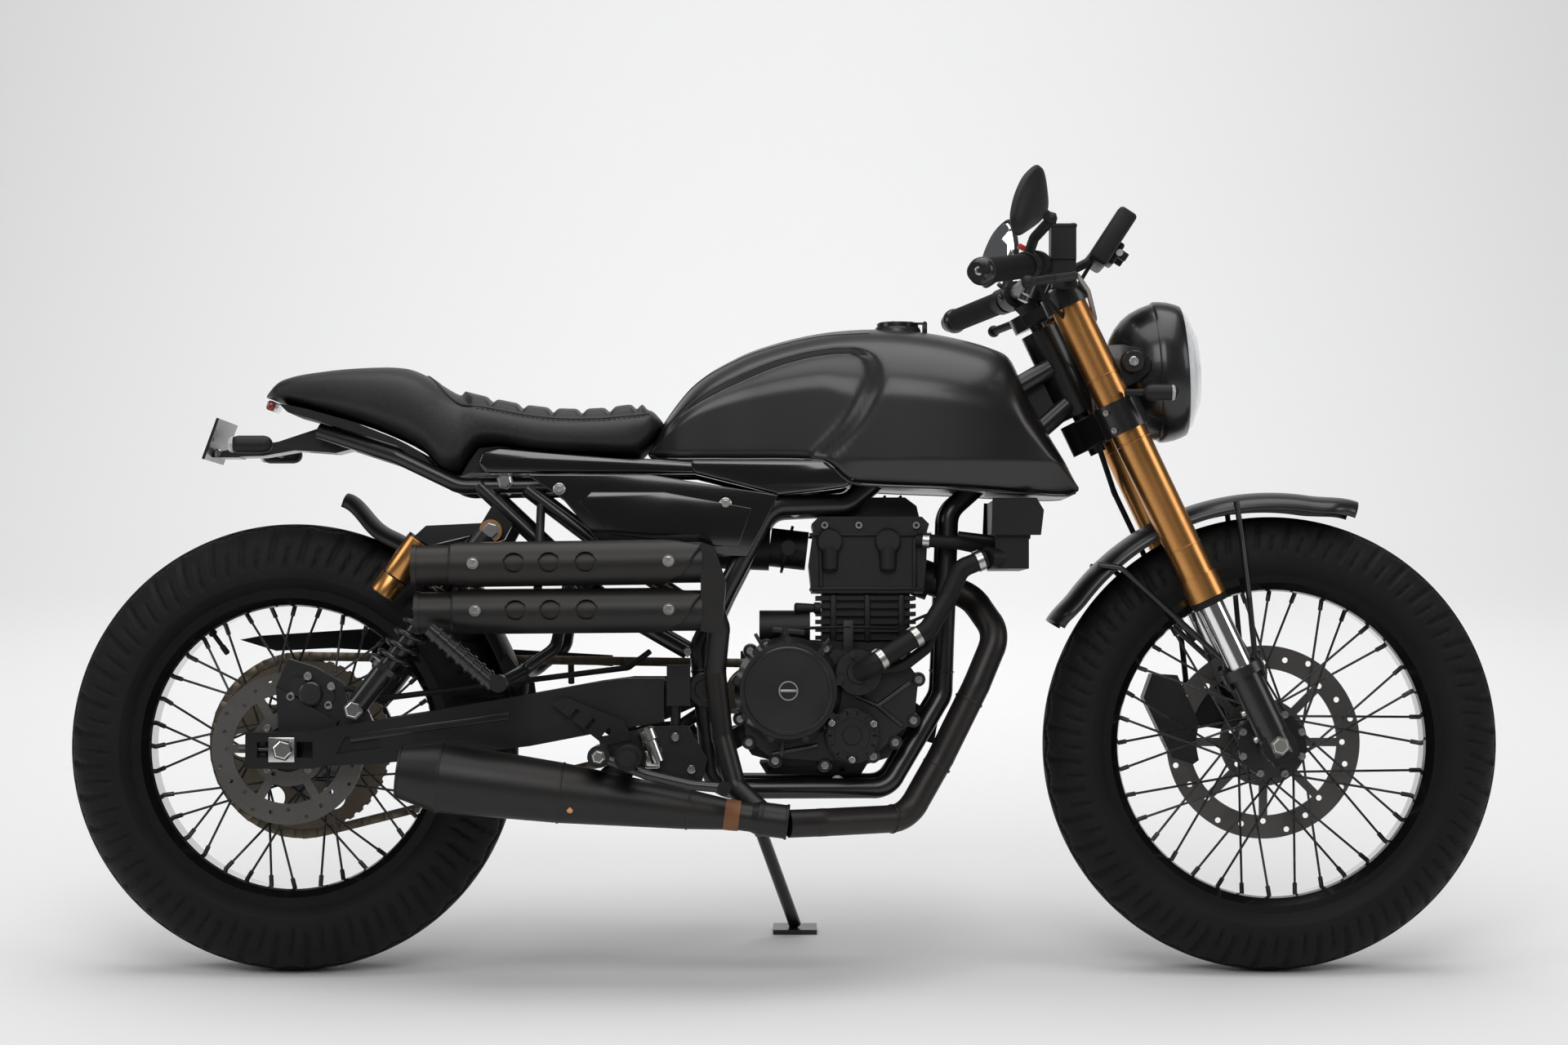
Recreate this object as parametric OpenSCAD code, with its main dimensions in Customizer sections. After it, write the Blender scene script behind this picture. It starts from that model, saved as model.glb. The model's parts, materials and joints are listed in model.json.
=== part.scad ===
// Cafe racer motorcycle, leaning on its side stand as it parks.
// Every piece is drawn on the upright machine: X forward, Y to the rider's left, Z up, millimetres,
// with the origin on the floor under the rear axle. parked() then leans the machine and centres it.

/* [Stance] */
// Distance between the axles
wheelbase = 1363; // [1250:1:1500]
// Lean towards the side stand, degrees
lean = 8; // [4:0.5:12]
// Rake of the steering axis from the vertical, degrees
rake = 25.5; // [22:0.1:30]
// Distance of the steering axis behind the fork legs
fork_offset = 40; // [25:1:55]

/* [Wheels] */
// Front tyre outer radius
front_radius = 317; // [300:1:330]
// Front tyre half width
front_half_width = 56; // [45:1:65]
// Radius over the front rim's flanges
front_flange = 246; // [238:1:255]
// Rear tyre outer radius
rear_radius = 312; // [295:1:330]
// Rear tyre half width
rear_half_width = 67; // [55:1:80]
// Radius over the rear rim's flanges
rear_flange = 229; // [222:1:240]
// Spokes in each wheel
spokes = 36; // [18:18:72]
// Radius of a spoke
spoke_radius = 1.7; // [1.2:0.1:2.5]
// Radius of both axles
axle_radius = 10; // [7:0.5:12]
// Front brake disc radius
front_disc_radius = 137; // [120:1:160]
// Rear brake disc radius
rear_disc_radius = 105; // [90:1:125]

/* [Fork] */
// Half the distance between the fork legs
leg_y = 95; // [80:1:110]
// Radius of the outer fork tubes
outer_tube = 25; // [20:0.5:30]
// Radius of the inner fork tubes
inner_tube = 17.5; // [14:0.5:22]

/* [Frame] */
// Radius of the frame tubes
frame_tube = 14; // [10:0.5:18]
// Half width over the centres of the frame's side tubes
frame_y = 104; // [95:1:115]
// Height of the swingarm pivot
pivot_z = 394; // [370:1:420]
// Radius of the recess in each swingarm pivot boss
pivot_bore = 13; // [9:0.5:16]

/* [Handlebar] */
// Radius of the handlebar tube
bar_radius = 11; // [10:0.5:14]
// Half width over the bar's ends
bar_half_width = 370; // [300:5:420]
// Radius of the headlight
headlight_radius = 98; // [80:1:110]

/* [Exhaust] */
// Radius of the header pipe
header_radius = 19; // [15:0.5:24]
// Where the exhaust port lies across the machine
header_y = -8; // [-20:1:20]
// Radius of each upper silencer
can_radius = 27.5; // [22:0.5:35]
// Distance of the silencers from the centre plane
can_y = 182; // [175:1:200]

/* [Side stand] */
// Radius of the stand's leg
stand_radius = 9; // [7:0.5:12]
// Radius of the stand's pivot pin
stand_pin = 6; // [4:0.5:9]

/* [Hidden] */
$fn = 48;
place = [-684, -131.02, 0.65];
front_axle = [wheelbase, 0, front_radius];
rear_axle = [0, 0, rear_radius];
stand_pivot = [640, 112, 218];
stand_axis_tilt = 36.87;
stand_sweep = 15.4;
stand_length = 226;
stand_foot = [700, 244, (244 * sin(lean) - 0.6) / cos(lean)];

// ---------------------------------------------------------------- helpers

module parked() {
    translate(place) rotate([-lean, 0, 0]) children();
}

module both() {
    children();
    mirror([0, 1, 0]) children();
}

// Local frame of the fork: origin at the front axle, Z up along the legs, X square to them.
module fork() {
    translate(front_axle) rotate([0, -rake, 0]) children();
}

// Local frame of the side stand's pivot: Z out along the pin, Y down the deployed leg.
module at_stand() {
    translate(stand_pivot) rotate([stand_axis_tilt - 90, 0, 0]) children();
}

function unit(v) = v / norm(v);

module aimed(a, b) {
    v = b - a;
    translate(a) rotate([0, acos(v[2] / norm(v)), atan2(v[1], v[0])]) children();
}

module rod(a, b, r) {
    aimed(a, b) cylinder(h = norm(b - a), r = r);
}

module cone(a, b, r1, r2) {
    aimed(a, b) cylinder(h = norm(b - a), r1 = r1, r2 = r2);
}

module hollow_rod(a, b, r, bore) {
    difference() {
        rod(a, b, r);
        rod(a - unit(b - a), b + unit(b - a), bore);
    }
}

module elbow(before, corner, after, r, bend) {
    d1 = unit(corner - before);
    d2 = unit(after - corner);
    turn = acos(d1 * d2);
    start = corner - bend * tan(turn / 2) * d1;
    centre = corner + unit(d2 - d1) * bend / cos(turn / 2);
    x = unit(start - centre);
    z = cross(x, d1);
    multmatrix([[x[0], d1[0], z[0], centre[0]], [x[1], d1[1], z[1], centre[1]],
        [x[2], d1[2], z[2], centre[2]], [0, 0, 0, 1]])
        rotate_extrude(angle = turn) translate([bend, 0]) circle(r + 0.25);
}

function setback(p, i, bend) = i == 0 || i == len(p) - 1 ? 0
    : bend * tan(acos(unit(p[i] - p[i - 1]) * unit(p[i + 1] - p[i])) / 2) - 0.6;

// A tube of radius r along the corners p, bent to the radius bend at each inner corner.
module bent_tube(p, r, bend) {
    for (i = [0 : len(p) - 2]) {
        d = unit(p[i + 1] - p[i]);
        rod(p[i] + d * setback(p, i, bend), p[i + 1] - d * setback(p, i + 1, bend), r);
    }
    for (i = [1 : len(p) - 2]) elbow(p[i - 1], p[i], p[i + 1], r, bend);
}

// An outline in X and Z, extruded across the machine from y0 to y1.
module slab(points, y0, y1) {
    translate([0, y1, 0]) rotate([90, 0, 0]) linear_extrude(y1 - y0) polygon(points);
}

// A short cylinder across the machine from y0 to y1.
module boss(x, z, r, y0, y1) {
    translate([x, y1, z]) rotate([90, 0, 0]) cylinder(h = y1 - y0, r = r);
}

// A hexagon bolt head across the machine, standing out from y0 to y1.
module hex_head(x, z, across, y0, y1) {
    translate([x, y1, z]) rotate([90, 0, 0]) cylinder(h = y1 - y0, r = across / 1.732, $fn = 6);
}

// A body of revolution about the Y axis, from an outline of radius and Y.
module turned(centre) {
    translate(centre) rotate([90, 0, 0]) mirror([0, 0, 1]) rotate_extrude() children();
}

// ---------------------------------------------------------------- wheels

module tyre(centre, outer, half, seat) {
    ring = outer - half;
    turned(centre) difference() {
        union() {
            intersection() {
                translate([ring, 0]) circle(half);
                translate([ring - 8, -half - 5]) square([half + 20, 2 * half + 10]);
            }
            polygon([[seat, -half * 0.66], [seat + 16, -half * 0.72], [ring - 7, -half * 0.985],
                [ring - 7, half * 0.985], [seat + 16, half * 0.72], [seat, half * 0.66]]);
        }
        translate([ring, 0]) circle(half * 0.7);
        translate([seat - 5, -half * 0.5]) square([ring - seat, half]);
    }
}

module rim(centre, flange, half, well) {
    seat = flange - 17;
    turned(centre) polygon([[flange, -half - 5], [flange, -half - 0.4], [seat - 0.4, -half - 0.4],
        [seat - 1.5, -half + 12], [well + 5, -half + 20], [well + 5, half - 20],
        [seat - 1.5, half - 12], [seat - 0.4, half + 0.4], [flange, half + 0.4],
        [flange, half + 5], [seat - 4, half + 5], [well + 2, half - 10], [well, half - 18],
        [well, -half + 18], [well + 2, -half + 10], [seat - 4, -half - 5]]);
}

module spoke_set(centre, hub_r, hub_y, well) {
    for (i = [0 : spokes - 1]) {
        side = i % 2 == 0 ? 1 : -1;
        lead = floor(i / 2) % 2 == 0 ? 1 : -1;
        a = i * 360 / spokes;
        b = a + lead * 62;
        h = [hub_r * cos(b), side * (hub_y + lead * 3.2), hub_r * sin(b)];
        r = [(well + 1) * cos(a), side * 5, (well + 1) * sin(a)];
        translate(centre) {
            rod(h, r, spoke_radius);
            rod(r - unit(r - h) * 15, r, 3.2);
        }
    }
}

module front_tyre() {
    color([0.05, 0.05, 0.05]) tyre(front_axle, front_radius, front_half_width, front_flange - 17);
}

module front_rim() {
    color([0.03, 0.03, 0.03]) rim(front_axle, front_flange, front_half_width * 0.66, 213);
}

module front_spokes() {
    color([0.2, 0.2, 0.2]) spoke_set(front_axle, 41, 31, 213);
}

module front_hub() {
    color([0.06, 0.06, 0.06]) difference() {
        turned(front_axle) polygon([[8, -44], [20, -44], [22, -38], [47, -36], [47, -27], [30, -22],
            [27, 0], [30, 22], [47, 27], [47, 36], [38, 38], [38, 56], [24, 56], [8, 56]]);
        boss(wheelbase, front_radius, axle_radius + 0.05, -80, 80);
    }
}

module front_disc() {
    color([0.6, 0.6, 0.6]) translate([wheelbase, 0, front_radius]) difference() {
        union() {
            difference() {
                boss(0, 0, front_disc_radius, 60, 64);
                boss(0, 0, front_disc_radius - 33, 59, 65);
            }
            difference() {
                boss(0, 0, 62, 56.5, 64);
                boss(0, 0, 30, 56, 65);
            }
            for (i = [0 : 7]) rotate([0, i * 45, 0]) translate([58, 60, -6]) cube([50, 4, 12]);
        }
        for (i = [0 : 23]) rotate([0, i * 15, 0]) {
            boss(112 + (i % 3) * 8, 0, 4, 55, 70);
        }
        for (i = [0 : 5]) rotate([0, i * 60 + 20, 0]) boss(48, 0, 4.2, 55, 70);
    }
}

module rear_tyre() {
    color([0.05, 0.05, 0.05]) tyre(rear_axle, rear_radius, rear_half_width, rear_flange - 14);
}

module rear_rim() {
    color([0.03, 0.03, 0.03]) rim(rear_axle, rear_flange, rear_half_width * 0.66, 197);
}

module rear_spokes() {
    color([0.2, 0.2, 0.2]) spoke_set(rear_axle, 46, 36, 197);
}

module rear_hub() {
    color([0.06, 0.06, 0.06]) difference() {
        turned(rear_axle) polygon([[8, -84], [22, -84], [22, -74], [44, -73], [44, -66], [34, -62],
            [34, -44], [53, -42], [53, -33], [36, -27], [34, 0], [36, 27], [53, 33], [53, 42],
            [62, 46], [62, 78.5], [30, 78.5], [30, 92], [8, 92]]);
        boss(0, rear_radius, axle_radius + 0.05, -100, 100);
    }
}

module rear_disc() {
    color([0.6, 0.6, 0.6]) translate([0, 0, rear_radius]) difference() {
        union() {
            difference() {
                boss(0, 0, rear_disc_radius, -77.5, -73.2);
                boss(0, 0, rear_disc_radius - 29, -78, -72);
            }
            difference() {
                boss(0, 0, 52, -77.5, -73.2);
                boss(0, 0, 32, -78, -72);
            }
            for (i = [0 : 5]) rotate([0, i * 60, 0]) translate([44, -77.5, -6]) cube([36, 4.3, 12]);
        }
        for (i = [0 : 23]) rotate([0, i * 15, 0]) boss(84 + (i % 3) * 6.5, 0, 3, -80, -70);
        for (i = [0 : 3]) rotate([0, i * 90 + 30, 0]) boss(40, 0, 3, -80, -70);
    }
}

// Forty-eight teeth on a 15.875 mm pitch.
module rear_sprocket() {
    color([0.35, 0.33, 0.3]) translate([0, 0, rear_radius]) difference() {
        boss(0, 0, 125, 79, 85);
        boss(0, 0, 31, 78, 86);
        for (i = [0 : 47]) rotate([0, i * 7.5, 0]) boss(126.4, 0, 4.6, 78, 86);
        for (i = [0 : 5]) rotate([0, i * 60, 0]) {
            boss(52, 0, 5, 78, 86);
            boss(86, 0, 17, 78, 86);
        }
    }
}

// ---------------------------------------------------------------- frame

module frame_side() {
    difference() {
        union() {
            bent_tube([[1056, 18, 842], [880, 26, 738], [770, 66, 650], [664, frame_y, 646],
                [601, frame_y, 524], [568, frame_y, 452], [586, frame_y, 258], [826, 88, 258],
                [903, 62, 386], [912, 50, 640], [1080, 18, 790]], frame_tube, 34);
            boss(576, pivot_z, 24, frame_y - 14, frame_y + 14);
        }
        boss(576, pivot_z, pivot_bore, frame_y - 4, frame_y + 15);
        boss(576, pivot_z, 9, frame_y - 20, frame_y + 15);
    }
}

module main_frame() {
    color([0.04, 0.04, 0.04]) difference() {
        union() {
            both() frame_side();
            fork() translate([-fork_offset, 0, 530]) cylinder(h = 130, r = 29);
            rod([760, -93, 258], [760, 93, 258], 11);
            rod([700, -92, 647.5], [700, 92, 647.5], 11);
            slab([[1050, 850], [1086, 794], [1060, 774], [985, 706], [930, 690], [900, 752], [960, 792]], -6, 6);
            // Clevis of the side stand.
            at_stand() difference() {
                union() {
                    translate([0, 0, -15]) cylinder(h = 30, r = 14);
                    translate([-14, -34, -15]) cube([28, 34, 30]);
                }
                translate([-30, -22, -7.5]) cube([60, 60, 15]);
                translate([0, 0, -20]) cylinder(h = 40, r = stand_pin + 0.05);
            }
        }
        fork() translate([-fork_offset, 0, 520]) cylinder(h = 150, r = 15);
    }
}

module subframe() {
    color([0.04, 0.04, 0.04]) {
        both() {
            bent_tube([[650, 90, 640], [470, 86, 676], [238, 84, 674], [150, 76, 716],
                [40, 52, 752]], 11, 40);
            bent_tube([[264, 86, 676], [440, 92, 510], [552, 98, 446]], 11, 40);
            bent_tube([[330, 86, 670], [430, 92, 594], [590, 98, 486]], 11, 40);
            // Shock absorber's upper lug.
            slab([[262, 612], [276, 592], [300, 600], [318, 634], [292, 662]], 84, 96);
            boss(284, 611, 14, 84, 99);
        }
        rod([46, -55, 750], [46, 55, 750], 8);
        rod([290, -84, 674.5], [290, 84, 674.5], 9);
        rod([440, -86, 675.8], [440, 86, 675.8], 9);
    }
}

// ---------------------------------------------------------------- engine

module crankcase() {
    color([0.06, 0.06, 0.06]) difference() {
        union() {
            slab([[622, 330], [640, 304], [690, 290], [800, 292], [826, 300], [856, 346],
                [860, 420], [846, 446], [700, 452], [632, 440], [620, 400]], -98, 98);
            slab([[700, 440], [714, 430], [860, 430], [858, 456], [720, 462]], -78, 78);
            slab([[650, 292], [660, 276], [790, 276], [800, 292]], -70, 70);
            // Engine mounting ears.
            slab([[850, 330], [892, 318], [898, 352], [860, 380]], -46, 46);
            slab([[600, 300], [632, 318], [632, 350], [600, 330]], -40, 40);
        }
        // Bay of the drive sprocket.
        slab([[560, 322], [696, 322], [696, 447], [560, 480]], 66, 110);
        for (x = [664, 764]) boss(x, 284, 4, -72, -60);
    }
}

module bolt_ring(x, z, r, n, a0, y0, y1) {
    for (i = [0 : n - 1]) hex_head(x + r * cos(a0 + i * 360 / n), z + r * sin(a0 + i * 360 / n),
        9, y0, y1);
}

module engine_covers() {
    color([0.1, 0.1, 0.1]) {
        // Clutch side.
        slab([[624, 398], [632, 330], [664, 302], [742, 296], [812, 308], [842, 336], [862, 352],
            [868, 410], [846, 440], [790, 446], [700, 452], [640, 452]], -118, -98.2);
        translate([690, -116, 393]) rotate([90, 0, 0]) cylinder(h = 34, r1 = 74, r2 = 66);
        boss(690, 393, 56, -153, -149);
        boss(777, 332, 37, -138, -116);
        boss(777, 332, 30, -141, -137);
        boss(786, 418, 31, -140, -116);
        bolt_ring(690, 393, 69, 9, 10, -148, -140);
        bolt_ring(777, 332, 33, 3, 30, -146, -136);
        bolt_ring(786, 418, 26, 4, 20, -147, -138);
        // Generator side.
        slab([[702, 310], [742, 296], [812, 306], [852, 330], [864, 370], [852, 420], [800, 446],
            [714, 446], [702, 440]], 98.2, 112);
        translate([778, 110, 376]) rotate([-90, 0, 0]) cylinder(h = 30, r1 = 66, r2 = 58);
        bolt_ring(778, 376, 62, 8, 10, 132, 141);
        slab([[622, 338], [694, 330], [694, 440], [622, 446]], 94, 104);
    }
}

module cylinder_head() {
    color([0.08, 0.08, 0.08]) {
        for (i = [0 : 5]) translate([732 - 4, -72, 462 + i * 11]) cube([138, 144, 6]);
        translate([736, -66, 457]) cube([122, 132, 70]);
        slab([[722, 527], [876, 527], [880, 566], [882, 608], [724, 608], [718, 566]], -78, 78);
        slab([[726, 608], [880, 608], [884, 622], [874, 632], [732, 632], [722, 622]], -82, 82);
        slab([[736, 631], [872, 631], [868, 648], [852, 660], [758, 660], [738, 644]], -44, 44);
        // Starter and exhaust port.
        rod([650, -60, 478], [720, -60, 478], 25);
        rod([870, header_y, 550.5], [890, header_y, 543], 27);
        // Ends of the camshafts, and the cover's bolts.
        for (x = [747, 827]) boss(x, 598, 16, -88, -77);
        for (x = [740, 787, 866]) hex_head(x, 620, 9, -87, -81);
    }
}

module throttle_body() {
    color([0.12, 0.12, 0.12]) {
        rod([716, 0, 586], [664, 0, 592], 27);
        rod([690, 0, 588], [686, 0, 589], 34);
        rod([664, 0, 592], [560, 0, 596], 33);
        rod([690, -58, 590], [690, 40, 590], 10);
        slab([[400, 560], [560, 548], [560, 640], [410, 640]], -70, 70);
    }
}

module radiator() {
    color([0.07, 0.07, 0.07]) {
        difference() {
            translate([974, -104, 560]) cube([46, 208, 96]);
            for (i = [0 : 6]) translate([1012, -92, 566 + i * 12]) cube([20, 184, 7]);
        }
        slab([[968, 606], [1036, 606], [1040, 640], [1030, 657], [970, 657]], -112, -103.5);
        slab([[968, 606], [1036, 606], [1040, 640], [1030, 657], [970, 657]], 103.5, 112);
        rod([974, -50, 600], [925, -50, 606], 7);
        rod([974, 50, 600], [925, 50, 606], 7);
        rod([990, -84, 574], [962, -108, 574], 15);
    }
}

module coolant_hoses() {
    color([0.03, 0.03, 0.03]) {
        bent_tube([[786, -141, 418], [806, -156, 430], [880, -136, 476], [908, -118, 520],
            [926, -112, 560], [961, -108, 574]], 13, 24);
        bent_tube([[866, -84, 600], [920, -92, 596], [950, -80, 590], [974, -70, 586]], 9, 22);
    }
}

// ---------------------------------------------------------------- exhaust

module exhaust_header() {
    color([0.72, 0.7, 0.66]) {
        bent_tube([[882, header_y, 546], [946, -12, 522], [980, -50, 470], [950, -68, 400],
            [900, -78, 300], [852, -92, 217], [735, -168, 215], [690, -can_y, 214]],
            header_radius, 46);
            // Link to the upper silencers.
        bent_tube([[665, -can_y, 219], [618, -150, 262], [600, -138, 330], [590, -138, 420],
            [596, -160, 478], [584, -can_y, 520]], 15, 26);
    }
}

module lower_silencer() {
    color([0.45, 0.43, 0.4]) aimed([640, -can_y, 222.5], [163, -can_y, 284]) difference() {
        rotate_extrude() polygon([[0, -50], [23, -50], [23, -10], [19.5, 0], [19.5, 20], [27, 86],
            [41, 260], [48, 424], [35, 481], [28, 481], [28, 440], [0, 436]]);
        translate([0, 0, 460]) cylinder(h = 30, r = 27);
    }
}

can_axes = [[[182, -can_y, 562], [574, -can_y, 567]], [[186, -can_y, 499], [574, -can_y, 502]]];

module upper_silencers() {
    color([0.5, 0.48, 0.45]) {
        for (a = can_axes) difference() {
            union() {
                rod(a[0], a[1], can_radius);
                rod(a[0] + [0.5, 0, 0], a[0] + [7, 0, 0], can_radius + 1.5);
            }
            rod(a[0] - [1, 0, 0], a[0] + [40, 0, 0], 19);
        }
        slab([[572, 594], [590, 588], [606, 540], [600, 470], [572, 474]], -can_y - 24,
            -can_y + 24);
        // Hanger stays to the subframe.
        rod([430, -can_y + 24, 533], [430, -90, 560], 6);
        rod([350, -can_y + 24, 531], [350, -88, 654], 6);
    }
}

module shield(a, x0, x1) {
    difference() {
        rod([x0, a[0][1], a[0][2] + 1], [x1, a[1][1], a[1][2]], can_radius + 4);
        rod([x0 - 5, a[0][1], a[0][2] + 1], [x1 + 5, a[1][1], a[1][2]], can_radius + 1);
        translate([x0 - 20, -can_y - 8, 400]) cube([400, 80, 260]);
        for (x = [378, 420, 462]) for (d = [-7, 7])
            translate([x + d, -can_y - 60, a[0][2] + 3]) rotate([-90, 0, 0]) cylinder(h = 50, r = 6.5);
    }
    for (x = [x0 + 40, x1 - 34]) boss(x, a[0][2] + 11, 4.5, -can_y - 33, -can_y - 26);
}

module heat_shields() {
    color([0.75, 0.72, 0.68]) {
        shield(can_axes[0], 294, 571);
        shield(can_axes[1], 298, 571);
    }
}

// ---------------------------------------------------------------- tank and seat

tank_side = [[498, 712], [500, 730], [520, 772], [562, 822], [618, 856], [668, 875], [732, 890],
    [795, 896], [859, 894], [922, 884], [986, 865], [1000, 858], [1016, 806], [1052, 746],
    [1074, 712], [1086, 690], [1088, 664], [1034, 660], [915, 668], [779, 674], [752, 701],
    [735, 709]];

module fuel_tank() {
    color([0.03, 0.03, 0.03]) {
        difference() {
            intersection() {
                slab(tank_side, -140, 140);
                translate([0, 0, 600]) linear_extrude(360) polygon([[490, -92], [540, -104],
                    [640, -112], [760, -124], [860, -138], [960, -136], [1030, -118], [1096, -86],
                    [1096, 86], [1030, 118], [960, 136], [860, 138], [760, 124], [640, 112],
                    [540, 104], [490, 92]]);
                rotate([90, 0, 90]) translate([0, 0, 480]) linear_extrude(640)
                    polygon([[-140, 650], [-140, 790], [-128, 836], [-98, 872], [-58, 892],
                    [-20, 898], [20, 898], [58, 892], [98, 872], [128, 836], [140, 790],
                    [140, 650]]);
            }
            slab([[736, 640], [736, 690], [1010, 858], [1100, 858], [1100, 640]], -64, 64);
            slab([[736, 640], [736, 690], [800, 730], [900, 730], [900, 640]], -86, 86);
            boss(730, 660, 26, -130, 130);
        }
        difference() {
            translate([843, 0, 886]) cylinder(h = 13, r = 31);
            translate([843, 0, 893]) cylinder(h = 10, r = 22);
        }
        // Lugs of the cap's hinge.
        both() {
            translate([878, 5.4, 888]) cube([6, 3.2, 16.6]);
            boss(881, 904.6, 3, 5.4, 8.6);
        }
    }
}

module filler_cap() {
    color([0.1, 0.1, 0.1]) {
        translate([843, 0, 899.4]) cylinder(h = 5, r = 29);
        translate([843, 0, 896]) cylinder(h = 5, r = 15);
        translate([862, -5, 903.3]) cube([18, 10, 3]);
        boss(881, 904.6, 2.6, -5, 5);
    }
}

module seat() {
    color([0.05, 0.045, 0.04]) intersection() {
        slab([[-38, 803], [-10, 824], [51, 836], [162, 841], [190, 830], [231, 804], [288, 788],
            [337, 779], [383, 775], [430, 776], [472, 781], [494, 782], [506, 776], [505, 758],
            [490, 736], [476, 713], [346, 719], [294, 731], [262, 728], [248, 708], [238, 690],
            [214, 690], [200, 706], [186, 721], [147, 742], [91, 764], [26, 782], [-17, 792]],
            -125, 125);
        translate([0, 0, 660]) linear_extrude(200) polygon([[-42, -46], [-20, -72], [40, -92],
            [140, -110], [260, -120], [380, -122], [470, -112], [522, -90], [522, 90], [470, 112],
            [380, 122], [260, 120], [140, 110], [40, 92], [-20, 72], [-42, 46]]);
    }
}

module seat_base() {
    color([0.02, 0.02, 0.02]) slab([[-12, 788], [26, 780.5], [91, 762.5], [147, 740.5], [185, 719.5],
        [199, 704.5], [213, 688.5], [239.5, 688.5], [250, 707], [263.5, 726], [294, 729],
        [346, 717.5], [478, 711.5], [493, 711], [493, 694], [252, 692], [236, 686.5], [208, 687],
        [150, 730], [40, 765], [0, 776]], -84, 84);
}

module side_panels() {
    color([0.03, 0.03, 0.03]) both() {
        slab([[331, 689], [500, 688], [676, 660], [656, 618], [634, 576], [560, 578], [505, 587],
            [433, 594], [384, 652]], frame_y + 15, frame_y + 20);
        slab([[278, 690], [264, 704], [270, 720], [294, 724], [346, 715], [478, 709], [494, 711], [560, 706],
            [600, 690], [500, 690]], 86, 108);
        slab([[600, 700], [748, 698], [744, 690], [680, 664], [600, 690]], 88, 118);
        slab([[560, 640], [600, 640], [600, 660], [560, 660]], 100, frame_y + 15.5);
        for (p = [[377, 668], [604, 642]]) boss(p[0], p[1], 8, frame_y + 14, frame_y + 23);
    }
}

module tail_bracket() {
    color([0.04, 0.04, 0.04]) difference() {
        union() {
            slab([[95, 731], [72, 746], [40, 758], [-20, 738], [-123, 721], [-117, 716],
                [-42, 718], [4, 726], [60, 722]], -30, 30);
            translate([-118, -84, 712]) rotate([0, 20, 0]) cube([4, 168, 60]);
            translate([-104, -30, 716]) cube([30, 60, 6]);
        }
        for (s = [-1, 1]) translate([-130, s * 70, 748]) rotate([0, 110, 0]) cylinder(h = 60, r = 3.2);
        translate([20, -9, 700]) cube([40, 18, 60]);
    }
}

module bullet(x0, x1, y, z, r) {
    translate([x0, y, z]) rotate([0, 90, 0]) cylinder(h = x1 - x0, r = r);
}

module rear_indicators() {
    color([0.05, 0.05, 0.05]) both() {
        rod([-38, 30.2, 728], [-38, 140, 728], 5);
        bullet(-58, -22, 150, 728, 12);
        translate([-58, 150, 728]) sphere(r = 11.5);
        translate([-22, 150, 728]) sphere(r = 11.5);
    }
}

// ---------------------------------------------------------------- rear end

module swingarm() {
    color([0.05, 0.05, 0.05]) {
        difference() {
            union() {
                both() difference() {
                    slab([[520, 410], [470, 410], [425, 404], [337, 388], [249, 373], [169, 359],
                        [90, 347], [60, 342], [40, 336], [-52, 336], [-52, 286], [40, 286],
                        [57, 290], [133, 293], [337, 317], [441, 337], [520, 350]], 98, 124);
                    slab([[40, 301], [40, 323], [-36, 323], [-36, 301]], 90, 130);
                    slab([[72, 306], [134, 314], [128, 336], [84, 330]], 118, 130);
                }
                both() {
                    translate([-16, 97, 296]) cube([34, 28, 32]);
                    hex_head(0, rear_radius, 24, 125, 134);
                    rod([-62, 111, 312], [-15, 111, 312], 4.5);
                    slab([[440, 352], [520, 352], [576, 376], [576, 412], [520, 406], [440, 404]],
                        58, 73);
                    // Lower eye of the shock absorber.
                    slab([[74, 343], [122, 350], [112, 372], [84, 372]], 104, 118);
                }
                translate([452, -99, 353]) cube([60, 198, 50]);
                boss(576, pivot_z, 19, -86, 86);
                boss(576, pivot_z, 9, 4 - frame_y, frame_y - 4);
            }
            boss(97, 362, 7, 100, 130);
            boss(97, 362, 7, -130, -100);
        }
        boss(0, rear_radius, axle_radius, -124, 124);
    }
}

shock_low = [97, 124, 367];
shock_high = [284, 124, 611];

function along(a, b, s) = a + unit(b - a) * s;

module shock_absorbers() {
    color([0.75, 0.6, 0.25]) both() {
        boss(97, 367, 13, 118.3, 134);
        boss(284, 611, 13, 99.3, 134);
        rod(along(shock_low, shock_high, 8), along(shock_low, shock_high, 66), 15);
        rod(along(shock_low, shock_high, 66), along(shock_low, shock_high, 74), 25);
        rod(along(shock_low, shock_high, 74), along(shock_low, shock_high, 250), 12);
        rod(along(shock_low, shock_high, 250), along(shock_low, shock_high, 258), 25);
        rod(along(shock_low, shock_high, 258), along(shock_low, shock_high, 300), 19);
        // Reservoir and its bridge.
        rod([188, 124, 600], [134, 124, 524], 18);
        slab([[176, 600], [196, 590], [262, 606], [270, 596], [290, 600], [282, 622], [196, 618]],
            112, 134);
    }
}

module coil(a, b, r, wire, turns) {
    steps = 12;
    sides = 6;
    n = turns * steps;
    h = norm(b - a);
    points = [for (i = [0 : n]) let (t = i * 360 / steps, z = wire + i * (h - 2 * wire) / n)
        for (j = [0 : sides - 1]) let (q = j * 360 / sides)
            [(r + wire * cos(q)) * cos(t), (r + wire * cos(q)) * sin(t), z + wire * sin(q)]];
    walls = [for (i = [0 : n - 1]) for (j = [0 : sides - 1]) let (k = (j + 1) % sides)
        [i * sides + j, i * sides + k, (i + 1) * sides + k, (i + 1) * sides + j]];
    aimed(a, b) polyhedron(points = points, faces = concat(
        [[for (j = [0 : sides - 1]) sides - 1 - j]], walls, [[for (j = [0 : sides - 1]) n * sides + j]]));
}

module shock_springs() {
    color([0.06, 0.06, 0.06]) both()
        coil(along(shock_low, shock_high, 74.2), along(shock_low, shock_high, 249.8), 20.5, 4.2, 9);
}

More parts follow.
